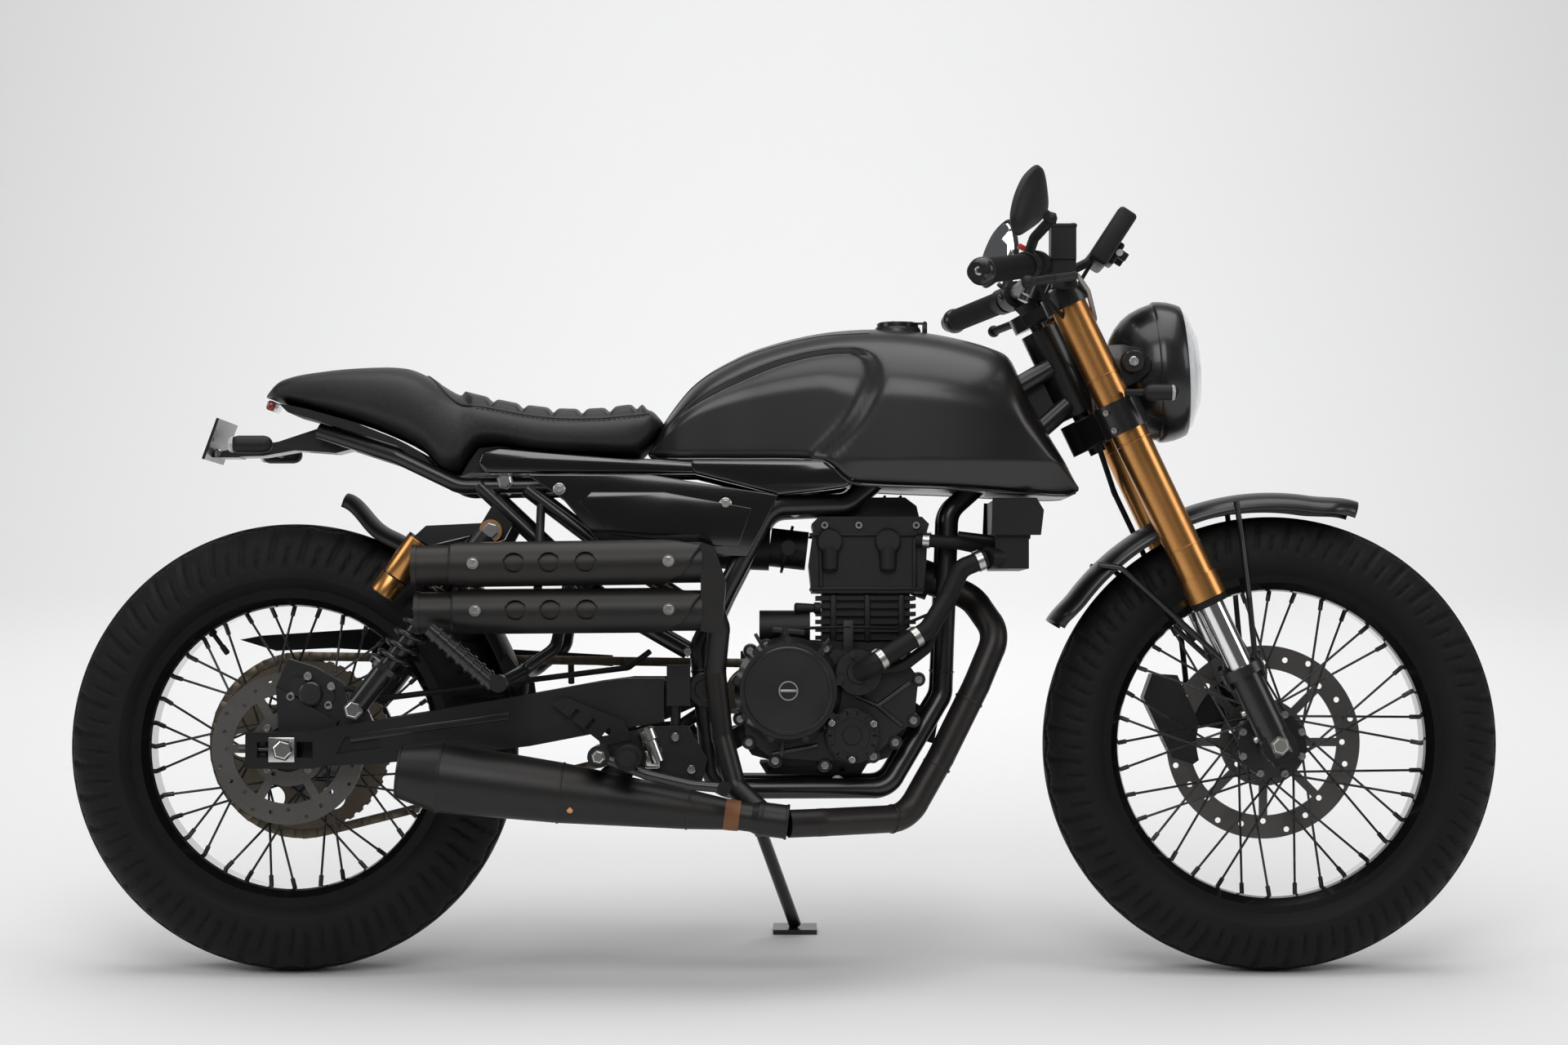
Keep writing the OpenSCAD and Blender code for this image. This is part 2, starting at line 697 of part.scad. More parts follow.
module rear_mudguard() {
    color([0.04, 0.04, 0.04]) {
        translate(rear_axle) rotate([90, 0, 0]) rotate([0, 0, 12]) rotate_extrude(angle = 64)
            polygon([[318, -61], [318, -58], [329, -56], [329, 56], [318, 58], [318, 61],
                [333, 61], [333, -61]]);
        translate([76, -58, 634]) rotate([0, -52, 0]) cube([34, 116, 3.5]);
        both() {
            rod([326, 60, 400], [326, 99, 378], 5);
            slab([[300, 446], [330, 400], [334, 376], [318, 376], [290, 430]], 58, 61.5);
        }
    }
}

module chain() {
    // Side plates and rollers as one closed band round both sprockets.
    color([0.3, 0.28, 0.25]) difference() {
        union() {
            boss(0, rear_radius, 134, 75, 89);
            boss(640, 385, 51, 75, 89);
            slab([[-13, 445], [0, 446], [646, 436], [646, 334], [30, 181], [-10, 178]], 75, 89);
        }
        boss(0, rear_radius, 118, 70, 94);
        boss(640, 385, 35, 70, 94);
        slab([[0, 430], [642, 420], [648, 350], [28, 197], [0, 196]], 70, 94);
        boss(0, rear_radius, 131, 77.8, 86.2);
    }
    color([0.3, 0.28, 0.25]) {
        boss(640, 385, 33.5, 79, 85);
        rod([640, 60, 385], [640, 92, 385], 12);
    }
}

module chain_guard() {
    color([0.03, 0.03, 0.03]) {
        slab([[-92, 462], [-60, 468], [94, 478], [130, 452], [300, 448], [440, 440], [440, 424],
            [300, 434], [40, 450], [-40, 446]], 90.5, 93);
        rod([380, 92.9, 432], [380, 104, 400], 4.5);
        rod([100, 92.9, 456], [100, 104, 346], 4.5);
    }
}

module rear_caliper() {
    color([0.16, 0.16, 0.16]) {
        difference() {
            union() {
                slab([[-14, 398], [0, 372], [70, 348], [86, 366], [78, 402], [40, 424], [2, 436]],
                    -92, -58);
                slab([[-12, 300], [60, 300], [70, 350], [-14, 398], [-10, 330]], -97, -90);
            }
            boss(0, rear_radius, rear_disc_radius + 6, -81, -69);
            boss(0, rear_radius, 24, -99, -80);
        }
        boss(16, 398, 13, -96, -91);
        boss(54, 384, 13, -96, -91);
    }
}

module rear_brake_hose() {
    color([0.03, 0.03, 0.03]) bent_tube([[500, -112, 446], [470, -92, 424], [120, -92, 380],
        [88, -92, 396], [70, -84, 391]], 4, 12);
}

// ---------------------------------------------------------------- controls for the feet

module hanger(s) {
    mirror([0, s > 0 ? 0 : 1, 0]) {
        difference() {
            slab([[430, 330], [440, 300], [476, 286], [572, 268], [580, 300], [552, 346],
                [500, 344], [470, 336]], 126, 134);
            boss(508, 312, 10, 120, 140);
        }
        for (p = [[497, 320], [536, 330], [558, 286]]) boss(p[0], p[1], 8, 118.2, 138);
        rod([558, 100, 286], [558, 127, 286], 8);
        rod([536, 118.4, 340], [560, 100, 356], 8);
    }
}

module heel_guard() {
    difference() {
        slab([[366, 376], [440, 318], [476, 326], [466, 352], [386, 384]], 134.2, 137);
        for (i = [0 : 2]) translate([398 + i * 22, 130, 360 - i * 13]) rotate([0, 38, 0])
            translate([-3, 0, -9]) cube([6, 10, 18]);
    }
}

module footrest_brackets() {
    color([0.07, 0.07, 0.07]) {
        hanger(1);
        hanger(-1);
        both() {
            heel_guard();
            rod([476, 134.2, 305], [476, 275, 305], 11);
            for (y = [150 : 12 : 266]) boss(476, 305, 13, y, y + 5);
        }
        // Rear brake reservoir beside the frame.
        translate([524, -134, 372]) cube([32, 18, 56]);
        rod([536, -125, 342], [536, -125, 373], 7);
    }
}

module foot_levers() {
    color([0.08, 0.08, 0.08]) {
        for (s = [-1, 1]) mirror([0, s > 0 ? 0 : 1, 0]) {
            boss(436, 306, 15, 137.5, 232);
            bent_tube([[436, 224, 306], [500, 224, 282], [560, 224, 268], [606, 224, 264]], 7, 60);
            boss(604, 264, 9, 216, 256);
        }
    }
}

module pillion_footrests() {
    color([0.6, 0.6, 0.6]) both() {
        bent_tube([[392, 92, 562], [372, 120, 452], [330, 150, 420], [302, 214, 404]], 8, 24);
        rod([296, 224, 402], [210, 224, 478], 11);
        for (i = [0 : 6]) rod([288 - i * 11, 224, 409 + i * 9.8], [284.5 - i * 11, 224, 412 + i * 9.8], 13.5);
        rod([302, 206, 404], [302, 236, 404], 12);
    }
}

module side_stand() {
    color([0.05, 0.05, 0.05]) {
        at_stand() {
            translate([0, 0, -16]) cylinder(h = 32, r = stand_pin);
            translate([0, 0, -6]) cylinder(h = 12, r = 14);
            rotate([0, 0, -stand_sweep]) {
                translate([-9, 0, -6]) cube([18, 44, 12]);
                translate([0, 36, 0]) rotate([-90, 0, 0]) cylinder(h = stand_length - 36, r = stand_radius);
            }
        }
        translate(stand_foot) rotate([lean, 0, 0]) translate([-32, -24, 0]) cube([64, 46, 7]);
    }
}

// ---------------------------------------------------------------- steering

module yokes() {
    color([0.06, 0.06, 0.06]) difference() {
        yoke_castings();
        fork() translate([-fork_offset, 0, 460]) cylinder(h = 70, r = 8);
    }
}

module yoke_castings() {
    fork() {
        for (z = [[479, 44], [668, 22]]) difference() {
            union() {
                for (s = [-1, 1]) translate([0, s * leg_y, z[0]]) cylinder(h = z[1], r = 33);
                translate([-fork_offset, 0, z[0]]) cylinder(h = z[1], r = 34);
                translate([0, 0, z[0] + 3]) linear_extrude(z[1] - 6)
                    polygon([[-66, -16], [-66, 16], [-24, 84], [2, leg_y], [2, -leg_y], [-24, -84]]);
            }
            for (s = [-1, 1]) translate([0, s * leg_y, z[0] - 1]) cylinder(h = z[1] + 2, r = outer_tube);
        }
        translate([-fork_offset, 0, 470]) cylinder(h = 226, r = 12);
        translate([-fork_offset, 0, 690]) cylinder(h = 12, r = 17, $fn = 6);
        for (s = [-1, 1]) translate([0, s * leg_y, 690]) cylinder(h = 6, r = 25.5);
    }
    for (s = [-1, 1]) rod([1028, s * 45, 938], [1040, s * 45, 966], 15);
}

module fork_tubes() {
    color([0.75, 0.58, 0.25]) fork() for (s = [-1, 1]) translate([0, s * leg_y, 0]) difference() {
        union() {
            translate([0, 0, 224]) cylinder(h = 464, r = outer_tube);
            translate([0, 0, 224]) cylinder(h = 34, r = outer_tube + 2);
        }
        translate([0, 0, 220]) cylinder(h = 60, r = inner_tube + 0.2);
    }
}

module fork_stanchions() {
    color([0.8, 0.8, 0.8]) fork() for (s = [-1, 1]) translate([0, s * leg_y, 100])
        cylinder(h = 170, r = inner_tube);
}

module fork_bottoms() {
    color([0.05, 0.05, 0.05]) difference() {
        fork_castings();
        fork() for (s = [-1, 1]) translate([0, s * leg_y, 99.8]) cylinder(h = 40, r = inner_tube + 0.2);
    }
}

module fork_castings() {
    union() {
        fork() for (s = [-1, 1]) {
            translate([0, s * leg_y, 106]) cylinder(h = 14, r = 31);
            translate([0, s * leg_y, -14]) cylinder(h = 121, r = 22);
            translate([-18, s * leg_y - 16, -24]) cube([38, 32, 60]);
            for (x = [-25, 25]) translate([x, s * leg_y, 96]) cylinder(h = 30, r = 5);
        }
        boss(wheelbase, front_radius, 24, leg_y - 20, leg_y + 18);
        boss(wheelbase, front_radius, 24, -leg_y - 18, -leg_y + 20);
        boss(wheelbase, front_radius, axle_radius, -120, 120);
        hex_head(wheelbase, front_radius, 22, 113, 124);
        boss(wheelbase, front_radius, 14, 56.6, 76);
        boss(wheelbase, front_radius, 14, -76, -44.6);
        // Ears of the caliper bracket on the left leg.
        slab([[1352, 396], [1318, 410], [1262, 372], [1270, 340], [1340, 330]], 84, 92);
    }
}

module handlebar() {
    color([0.03, 0.03, 0.03]) {
        bent_tube([[941, -bar_half_width, 941], [1014, -244, 962], [1040, -110, 978],
            [1040, 110, 978], [1014, 244, 962], [941, bar_half_width, 941]], bar_radius, 50);
        for (s = [-1, 1]) {
            rod([1040, s * 45 - 13, 978], [1040, s * 45 + 13, 978], 19);
            cone([942, s * 368, 941.3], [932, s * 386, 938.5], 16.5, 13);
        }
    }
}

module grips() {
    color([0.04, 0.04, 0.04]) for (s = [-1, 1]) difference() {
        rod(along([1014, s * 244, 962], [941, s * 370, 941], 22),
            along([1014, s * 244, 962], [941, s * 370, 941], 144), 16);
        rod([1014, s * 244, 962], [930, s * 389, 938], bar_radius);
    }
}

module hand_controls() {
    color([0.1, 0.1, 0.1]) for (s = [-1, 1]) {
        difference() {
            union() {
                rod([1024, s * 206, 965.5], [1016, s * 238, 962.5], 20);
                // Master cylinder or clutch perch, and its lever.
                translate([1046, s * 172 - 15, 938]) cube([32, 30, 38]);
                rod([1046, s * 172, 966], [1030, s * 176, 971.5], 12);
            }
            rod([1046, s * 80, 982], [1008, s * 275, 958.3], bar_radius + 0.2);
        }
        bent_tube([[1064, s * 180, 952], [1072, s * 240, 948], [1036, s * 320, 936],
            [1000, s * 378, 926]], 6, 40);
        translate([1000, s * 378, 926]) sphere(r = 9);
    }
    color([0.1, 0.1, 0.1]) translate([1044, -190, 976]) cube([34, 44, 44]);
}

module mirrors() {
    color([0.08, 0.08, 0.08]) for (s = [-1, 1]) {
        hollow_rod(along([1014, s * 244, 962], [941, s * 370, 941], 6),
            along([1014, s * 244, 962], [941, s * 370, 941], 16), 16, bar_radius + 0.2);
        rod([1008, s * 253, 974], [1004, s * 316, 1006], 5);
        translate([1006, s * 330, 1040]) rotate([0, 84, 0]) cylinder(h = 18, r = 47, center = true);
    }
}

module instrument() {
    color([0.04, 0.04, 0.04]) {
        translate([1140, 0, 1022]) rotate([0, 33, 0]) cube([28, 124, 84], center = true);
        rod([1136, -30, 1006], [1052, -30, 962], 5);
        rod([1136, 30, 1006], [1052, 30, 962], 5);
        rod([1056, -36, 964], [1056, 36, 964], 7);
        rod([1056, 0, 964], [1040, 0, 934], 7);
    }
}

module headlight() {
    color([0.03, 0.03, 0.03]) translate([1138, 0, 832]) rotate([0, 90 - 3.7, 0]) difference() {
        rotate_extrude() polygon([[0, 0], [40, 0], [68, 14], [86, 34], [headlight_radius - 4, 60],
            [headlight_radius - 1, 62], [headlight_radius, 66], [headlight_radius, 102],
            [headlight_radius - 6, 105], [headlight_radius - 9, 105], [headlight_radius - 9, 70],
            [60, 40], [0, 26]]);
    }
    color([0.05, 0.05, 0.05]) for (s = [-1, 1]) {
        slab([[1112, 866], [1150, 868], [1176, 862], [1188, 848], [1186, 832], [1172, 818],
            [1150, 808], [1130, 804]], s > 0 ? 93 : -99, s > 0 ? 99 : -93);
        rod([1163, s * 70, 844], [1163, s * 108, 844], 8);
    }
}

module headlight_lens() {
    color([0.8, 0.85, 0.9]) translate([1138, 0, 832]) rotate([0, 90 - 3.7, 0])
        rotate_extrude() polygon([[0, 131], [0, 126], [46, 120], [72, 110], [84, 98],
            [headlight_radius - 9.3, 96], [headlight_radius - 9.3, 101], [80, 112], [52, 124]]);
}

module front_indicators() {
    color([0.05, 0.05, 0.05]) for (s = [-1, 1]) {
        rod([1150, s * 122, 800], [1190, s * 138, 800], 5);
        bullet(1183, 1212, s * 140, 799, 11);
        translate([1212, s * 140, 799]) sphere(r = 10.5);
        translate([1183, s * 140, 799]) sphere(r = 10.5);
    }
}

module front_mudguard() {
    color([0.04, 0.04, 0.04]) {
        translate(front_axle) rotate([90, 0, 0]) rotate([0, 0, 76]) rotate_extrude(angle = 74)
            polygon([[324, -62], [324, -59], [340, -57], [348, -40], [348, 40], [340, 57],
                [324, 59], [324, 62], [342, 62], [351, 46], [351, -46], [342, -62]]);
        both() {
            rod([1330, 74, 440], [1312, 59.5, 648], 4);
            rod([1300, 74, 425], [1140, 60, 574], 4);
            slab([[1340, 448], [1292, 430], [1292, 414], [1340, 430]], 70, 77.2);
        }
    }
}

module front_caliper() {
    color([0.16, 0.16, 0.16]) {
        difference() {
            slab([[1204, 414], [1192, 380], [1232, 296], [1262, 286], [1282, 300], [1268, 350],
                [1240, 412]], 44, 92);
            boss(wheelbase, front_radius, front_disc_radius + 6, 57, 67);
            boss(wheelbase, front_radius, 96, 40, 100);
        }
        boss(1226, 378, 13, 92, 95);
        boss(1248, 330, 13, 92, 95);
    }
}

module front_brake_hose() {
    color([0.03, 0.03, 0.03]) {
        fork() bent_tube([[-30, 60, 476], [-35, 92, 410], [-35, 92, 190],
            [-60, 88, 120], [-96, 86, 92]], 4, 20);
    }
}

parked() main_frame();
parked() subframe();
parked() crankcase();
parked() cylinder_head();
parked() engine_covers();
parked() radiator();
parked() coolant_hoses();
parked() throttle_body();
parked() exhaust_header();
parked() lower_silencer();
parked() upper_silencers();
parked() heat_shields();
parked() fuel_tank();
parked() seat();
parked() seat_base();
parked() side_panels();
parked() tail_bracket();
parked() rear_indicators();
parked() swingarm();
parked() shock_absorbers();
parked() shock_springs();
parked() rear_mudguard();
parked() chain();
parked() chain_guard();
parked() rear_caliper();
parked() rear_brake_hose();
parked() footrest_brackets();
parked() foot_levers();
parked() pillion_footrests();
parked() filler_cap();
parked() side_stand();
parked() yokes();
parked() fork_tubes();
parked() fork_stanchions();
parked() fork_bottoms();
parked() handlebar();
parked() grips();
parked() hand_controls();
parked() mirrors();
parked() instrument();
parked() headlight();
parked() headlight_lens();
parked() front_indicators();
parked() front_mudguard();
parked() front_caliper();
parked() front_brake_hose();
parked() front_tyre();
parked() front_rim();
parked() front_hub();
parked() front_spokes();
parked() front_disc();
parked() rear_tyre();
parked() rear_rim();
parked() rear_hub();
parked() rear_spokes();
parked() rear_disc();
parked() rear_sprocket();
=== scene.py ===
"""Looks of the cafe racer motorcycle: finishes, modelled pieces, studio and camera.

Pieces are modelled on the upright machine, in metres: X forward, Y to the rider's left, Z up, with
the origin on the floor under the rear axle. Stance.lean_over() then leans each mesh as it parks.
"""

import json
import logging
import math
from dataclasses import dataclass, field
from enum import Enum
from typing import Callable, Sequence

import bpy
from mathutils import Matrix, Vector


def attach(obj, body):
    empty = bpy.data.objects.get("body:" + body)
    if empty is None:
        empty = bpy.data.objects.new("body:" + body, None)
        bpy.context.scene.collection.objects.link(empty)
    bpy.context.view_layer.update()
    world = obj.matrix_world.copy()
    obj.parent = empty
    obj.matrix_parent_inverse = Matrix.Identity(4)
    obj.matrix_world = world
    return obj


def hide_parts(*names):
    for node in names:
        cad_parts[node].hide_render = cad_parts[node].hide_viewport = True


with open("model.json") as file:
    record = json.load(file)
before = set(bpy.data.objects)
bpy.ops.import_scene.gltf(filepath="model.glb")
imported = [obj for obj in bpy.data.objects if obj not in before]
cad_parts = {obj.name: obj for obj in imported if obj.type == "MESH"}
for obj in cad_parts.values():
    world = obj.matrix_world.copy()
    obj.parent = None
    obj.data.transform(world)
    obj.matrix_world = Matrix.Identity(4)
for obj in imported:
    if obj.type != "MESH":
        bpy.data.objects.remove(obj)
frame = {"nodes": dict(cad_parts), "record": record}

LOG = logging.getLogger("cafe_racer")
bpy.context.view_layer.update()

Point = tuple[float, float, float]
Colour = tuple[float, float, float]


def mm(x: float, y: float, z: float) -> Vector:
    """A point of the upright machine, from millimetres to metres."""
    return Vector((x, y, z)) / 1000


# ---------------------------------------------------------------- stance


class Stance:
    """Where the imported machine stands: its lean and its place, read from its wheels' joints."""

    def __init__(self) -> None:
        """Reads the rear wheel's joint."""
        joints = {joint["name"]: joint for joint in frame["record"]["behaviour"]["joints"]}
        wheel = joints["rear_wheel_spin"]
        axis = Vector(wheel["axis"])
        self.lean: float = math.atan2(-axis.z, axis.y)
        self.turn: Matrix = Matrix.Rotation(-self.lean, 4, "X")
        axle = Vector((0, 0, REAR_RADIUS))
        self.shift: Vector = Vector(wheel["pos_m"]) - self.turn @ axle
        self.matrix: Matrix = Matrix.Translation(self.shift) @ self.turn

    def lean_over(self, piece: bpy.types.Object) -> None:
        """Moves an upright mesh to where the parked machine has it.

        Args:
            piece: an object at the origin whose mesh is in upright coordinates.
        """
        piece.data.transform(self.matrix)

    def place(self, point: Vector) -> Vector:
        """An upright point in the parked machine's frame."""
        return self.matrix @ point


REAR_RADIUS = 0.312
FRONT_RADIUS = 0.317
WHEELBASE = 1.363
RAKE = math.radians(25.5)
STANCE = Stance()
FRONT_AXLE = Vector((WHEELBASE, 0, FRONT_RADIUS))
REAR_AXLE = Vector((0, 0, REAR_RADIUS))


def fork_point(x: float, y: float, z: float) -> Vector:
    """A point given in millimetres along the fork: x square to the legs, z up along them."""
    turned = Matrix.Rotation(-RAKE, 3, "Y") @ mm(x, y, z)
    return FRONT_AXLE + turned


# ---------------------------------------------------------------- finishes


class Grain(Enum):
    """The small pattern that a finish shows."""

    CAST = "cast"
    BRUSHED = "brushed"
    PAINT = "paint"
    LEATHER = "leather"
    RUBBER = "rubber"
    MOULDED = "moulded"
    MACHINED = "machined"


@dataclass(frozen=True)
class Finish:
    """A procedural finish.

    Attributes:
        name: the material's name.
        colour: the base colour, linear.
        grain: which small pattern it has.
        metallic: 1 for bare metal.
        roughness: the middle of its roughness.
        spread: how far the roughness wanders.
        bump: the strength of its small relief.
        scale: how many grains a metre.
        worn: the colour that it wanders towards.
        wear: how much of the worn colour shows.
        coat: the clear coat's weight.
        shine: the specular level, 0.5 for most plastics and paints.
        stretch: how a brushed grain is drawn out along each axis.
    """

    name: str
    colour: Colour
    grain: Grain = Grain.PAINT
    metallic: float = 0.0
    roughness: float = 0.4
    spread: float = 0.12
    bump: float = 0.05
    scale: float = 400.0
    worn: Colour = (0.2, 0.2, 0.2)
    wear: float = 0.15
    coat: float = 0.0
    shine: float = 0.5
    stretch: Point = (1.0, 1.0, 1.0)

    def material(self) -> bpy.types.Material:
        """Builds the material once, and returns it."""
        found = bpy.data.materials.get(self.name)
        if found:
            return found
        material = bpy.data.materials.new(self.name)
        material.use_nodes = True
        tree = material.node_tree
        shader = tree.nodes["Principled BSDF"]
        shader.inputs["Metallic"].default_value = self.metallic
        shader.inputs["Coat Weight"].default_value = self.coat
        shader.inputs["Specular IOR Level"].default_value = self.shine
        shader.inputs["Coat Roughness"].default_value = 0.08
        place = tree.nodes.new("ShaderNodeTexCoord").outputs["Object"]
        fine = self._noise(tree, place, self.scale, 3.0, stretched=True)
        broad = self._noise(tree, place, 9.0, 5.0, stretched=False)
        self._colour(tree, shader, broad, fine)
        rough = tree.nodes.new("ShaderNodeMapRange")
        rough.inputs["To Min"].default_value = max(0.03, self.roughness - self.spread)
        rough.inputs["To Max"].default_value = min(1.0, self.roughness + self.spread)
        tree.links.new(broad, rough.inputs["Value"])
        tree.links.new(rough.outputs["Result"], shader.inputs["Roughness"])
        self._relief(tree, shader, place, fine)
        return material

    def _noise(self, tree: bpy.types.NodeTree, place: bpy.types.NodeSocket, scale: float, detail: float,
            stretched: bool) -> bpy.types.NodeSocket:
        """A noise on the piece's own coordinates.

        Args:
            tree: the material's nodes.
            place: the coordinates.
            scale: features a metre.
            detail: octaves.
            stretched: whether the finish's stretch applies.

        Returns:
            The noise's value.
        """
        mapping = tree.nodes.new("ShaderNodeMapping")
        if stretched:
            mapping.inputs["Scale"].default_value = self.stretch
            mapping.inputs["Rotation"].default_value = (STANCE.lean, 0, 0)
        noise = tree.nodes.new("ShaderNodeTexNoise")
        noise.inputs["Scale"].default_value = scale
        noise.inputs["Detail"].default_value = detail
        tree.links.new(place, mapping.inputs["Vector"])
        tree.links.new(mapping.outputs["Vector"], noise.inputs["Vector"])
        return noise.outputs["Fac"]

    def _colour(self, tree: bpy.types.NodeTree, shader: bpy.types.Node, broad: bpy.types.NodeSocket,
            fine: bpy.types.NodeSocket) -> None:
        """Mixes the worn colour into the base colour by both noises."""
        both = tree.nodes.new("ShaderNodeMath")
        both.operation = "MULTIPLY"
        tree.links.new(broad, both.inputs[0])
        tree.links.new(fine, both.inputs[1])
        ramp = tree.nodes.new("ShaderNodeValToRGB")
        worn = [c + (w - c) * self.wear for c, w in zip(self.colour, self.worn)]
        ramp.color_ramp.elements[0].position = 0.18
        ramp.color_ramp.elements[0].color = (*self.colour, 1)
        ramp.color_ramp.elements[1].position = 0.42
        ramp.color_ramp.elements[1].color = (*worn, 1)
        tree.links.new(both.outputs["Value"], ramp.inputs["Fac"])
        tree.links.new(ramp.outputs["Color"], shader.inputs["Base Color"])

    def _relief(self, tree: bpy.types.NodeTree, shader: bpy.types.Node, place: bpy.types.NodeSocket,
            fine: bpy.types.NodeSocket) -> None:
        """Adds the small relief: cells for leather and cast skins, the noise for the rest."""
        bump = tree.nodes.new("ShaderNodeBump")
        bump.inputs["Strength"].default_value = self.bump
        bump.inputs["Distance"].default_value = 0.001
        height = fine
        if self.grain in (Grain.LEATHER, Grain.CAST, Grain.MOULDED):
            cells = tree.nodes.new("ShaderNodeTexVoronoi")
            cells.feature = "DISTANCE_TO_EDGE" if self.grain is Grain.LEATHER else "F1"
            cells.inputs["Scale"].default_value = self.scale
            tree.links.new(place, cells.inputs["Vector"])
            height = cells.outputs["Distance"]
        tree.links.new(height, bump.inputs["Height"])
        tree.links.new(bump.outputs["Normal"], shader.inputs["Normal"])


SATIN_BLACK = Finish("satin_black_paint", (0.006, 0.006, 0.0065), roughness=0.32, spread=0.1, coat=0.25,
    worn=(0.022, 0.021, 0.02), wear=0.25, bump=0.03)
TANK_BLACK = Finish("tank_black_paint", (0.0055, 0.0056, 0.006), roughness=0.35, spread=0.04, coat=0.1,
    worn=(0.014, 0.014, 0.014), wear=0.2, bump=0.015, scale=900, shine=0.6)
GLOSS_BLACK = Finish("gloss_black", (0.004, 0.004, 0.0045), roughness=0.14, spread=0.06, coat=0.9,
    worn=(0.014, 0.014, 0.014), wear=0.15, bump=0.01)
ENGINE_BLACK = Finish("engine_black_casting", (0.008, 0.008, 0.0085), Grain.CAST, roughness=0.42,
    worn=(0.03, 0.028, 0.026), wear=0.3, bump=0.2, scale=1400, shine=0.32)
COVER_BLACK = Finish("engine_cover_black", (0.009, 0.009, 0.0095), Grain.CAST, roughness=0.34,
    worn=(0.03, 0.03, 0.03), wear=0.3, bump=0.08, scale=1800, coat=0.2)
BARE_STEEL = Finish("bare_steel", (0.55, 0.54, 0.52), Grain.MACHINED, 1.0, 0.3, worn=(0.3, 0.27, 0.23),
    wear=0.4, scale=700)
SILVER = Finish("silver_casting", (0.52, 0.52, 0.52), Grain.CAST, 1.0, 0.36, bump=0.1, scale=1500,
    worn=(0.3, 0.3, 0.3), wear=0.3)
CHROME = Finish("polished_chrome", (0.85, 0.85, 0.86), Grain.MACHINED, 1.0, 0.08, spread=0.05, bump=0.01,
    worn=(0.6, 0.6, 0.6), wear=0.2)
GOLD = Finish("gold_anodised", (0.62, 0.3, 0.1), Grain.BRUSHED, 1.0, 0.3, bump=0.02, worn=(0.45, 0.2, 0.06),
    wear=0.4, scale=300)
RUBBER = Finish("black_rubber", (0.007, 0.007, 0.007), Grain.RUBBER, roughness=0.55, bump=0.12,
    worn=(0.02, 0.019, 0.018), wear=0.3, scale=900, shine=0.22)
TYRE = Finish("tyre_rubber", (0.008, 0.008, 0.0084), Grain.RUBBER, roughness=0.6, bump=0.2,
    worn=(0.022, 0.021, 0.02), wear=0.45, scale=1200, shine=0.14)
MOULDED = Finish("moulded_black", (0.007, 0.007, 0.0075), Grain.MOULDED, roughness=0.46, bump=0.12,
    worn=(0.02, 0.02, 0.02), wear=0.25, scale=2200, shine=0.3)
LEATHER = Finish("black_leather", (0.008, 0.0075, 0.0072), Grain.LEATHER, roughness=0.42, bump=0.4,
    spread=0.08, worn=(0.024, 0.022, 0.02), wear=0.35, scale=700, shine=0.45)
CAN_BLACK = Finish("silencer_black", (0.013, 0.0125, 0.012), Grain.CAST, 0.35, 0.42, bump=0.06,
    worn=(0.045, 0.03, 0.022), wear=0.22, scale=1600)
HEADER_BLACK = Finish("header_black", (0.014, 0.013, 0.0125), Grain.CAST, 0.35, 0.4, bump=0.06,
    worn=(0.05, 0.034, 0.026), wear=0.28, scale=1600)
CHAIN_STEEL = Finish("oiled_chain", (0.2, 0.17, 0.13), Grain.MACHINED, 1.0, 0.4, bump=0.1,
    worn=(0.1, 0.08, 0.06), wear=0.5, scale=700)
DISC_STEEL = Finish("brake_disc_steel", (0.22, 0.21, 0.2), Grain.MACHINED, 1.0, 0.32, bump=0.05,
    worn=(0.12, 0.11, 0.1), wear=0.4, scale=600)
BRONZE_GREY = Finish("caliper_grey", (0.022, 0.02, 0.018), Grain.CAST, 0.3, 0.42, bump=0.15,
    worn=(0.05, 0.045, 0.04), wear=0.4, scale=1500)
COPPER = Finish("copper_rivet", (0.7, 0.32, 0.14), Grain.MACHINED, 1.0, 0.3)
RED = Finish("red_switch", (0.55, 0.01, 0.008), Grain.MOULDED, roughness=0.35)
REFLECTOR = Finish("reflector", (0.86, 0.87, 0.88), Grain.MACHINED, 1.0, 0.1, spread=0.05,
    worn=(0.6, 0.6, 0.62), wear=0.5, scale=60)
RUST = Finish("heat_band", (0.2, 0.085, 0.035), Grain.CAST, 0.4, 0.6, bump=0.25, worn=(0.32, 0.15, 0.06),
    wear=0.6, scale=900)
BARE_SPOKE = Finish("black_spoke_steel", (0.014, 0.014, 0.014), Grain.MACHINED, 0.6, 0.3,
    worn=(0.25, 0.24, 0.23), wear=0.35, scale=500)
THREAD_BLACK = Finish("seat_thread", (0.035, 0.033, 0.031), Grain.RUBBER, roughness=0.7, bump=0.3,
    worn=(0.08, 0.076, 0.07), scale=3000)
BRIGHT_STEEL = Finish("bright_steel", (0.72, 0.71, 0.69), Grain.MACHINED, 1.0, 0.2, worn=(0.4, 0.37, 0.33),
    wear=0.3, scale=500)
BRAID = Finish("braided_line", (0.5, 0.47, 0.42), Grain.MACHINED, 0.9, 0.4, bump=0.5,
    worn=(0.2, 0.18, 0.16), wear=0.6, scale=1500)


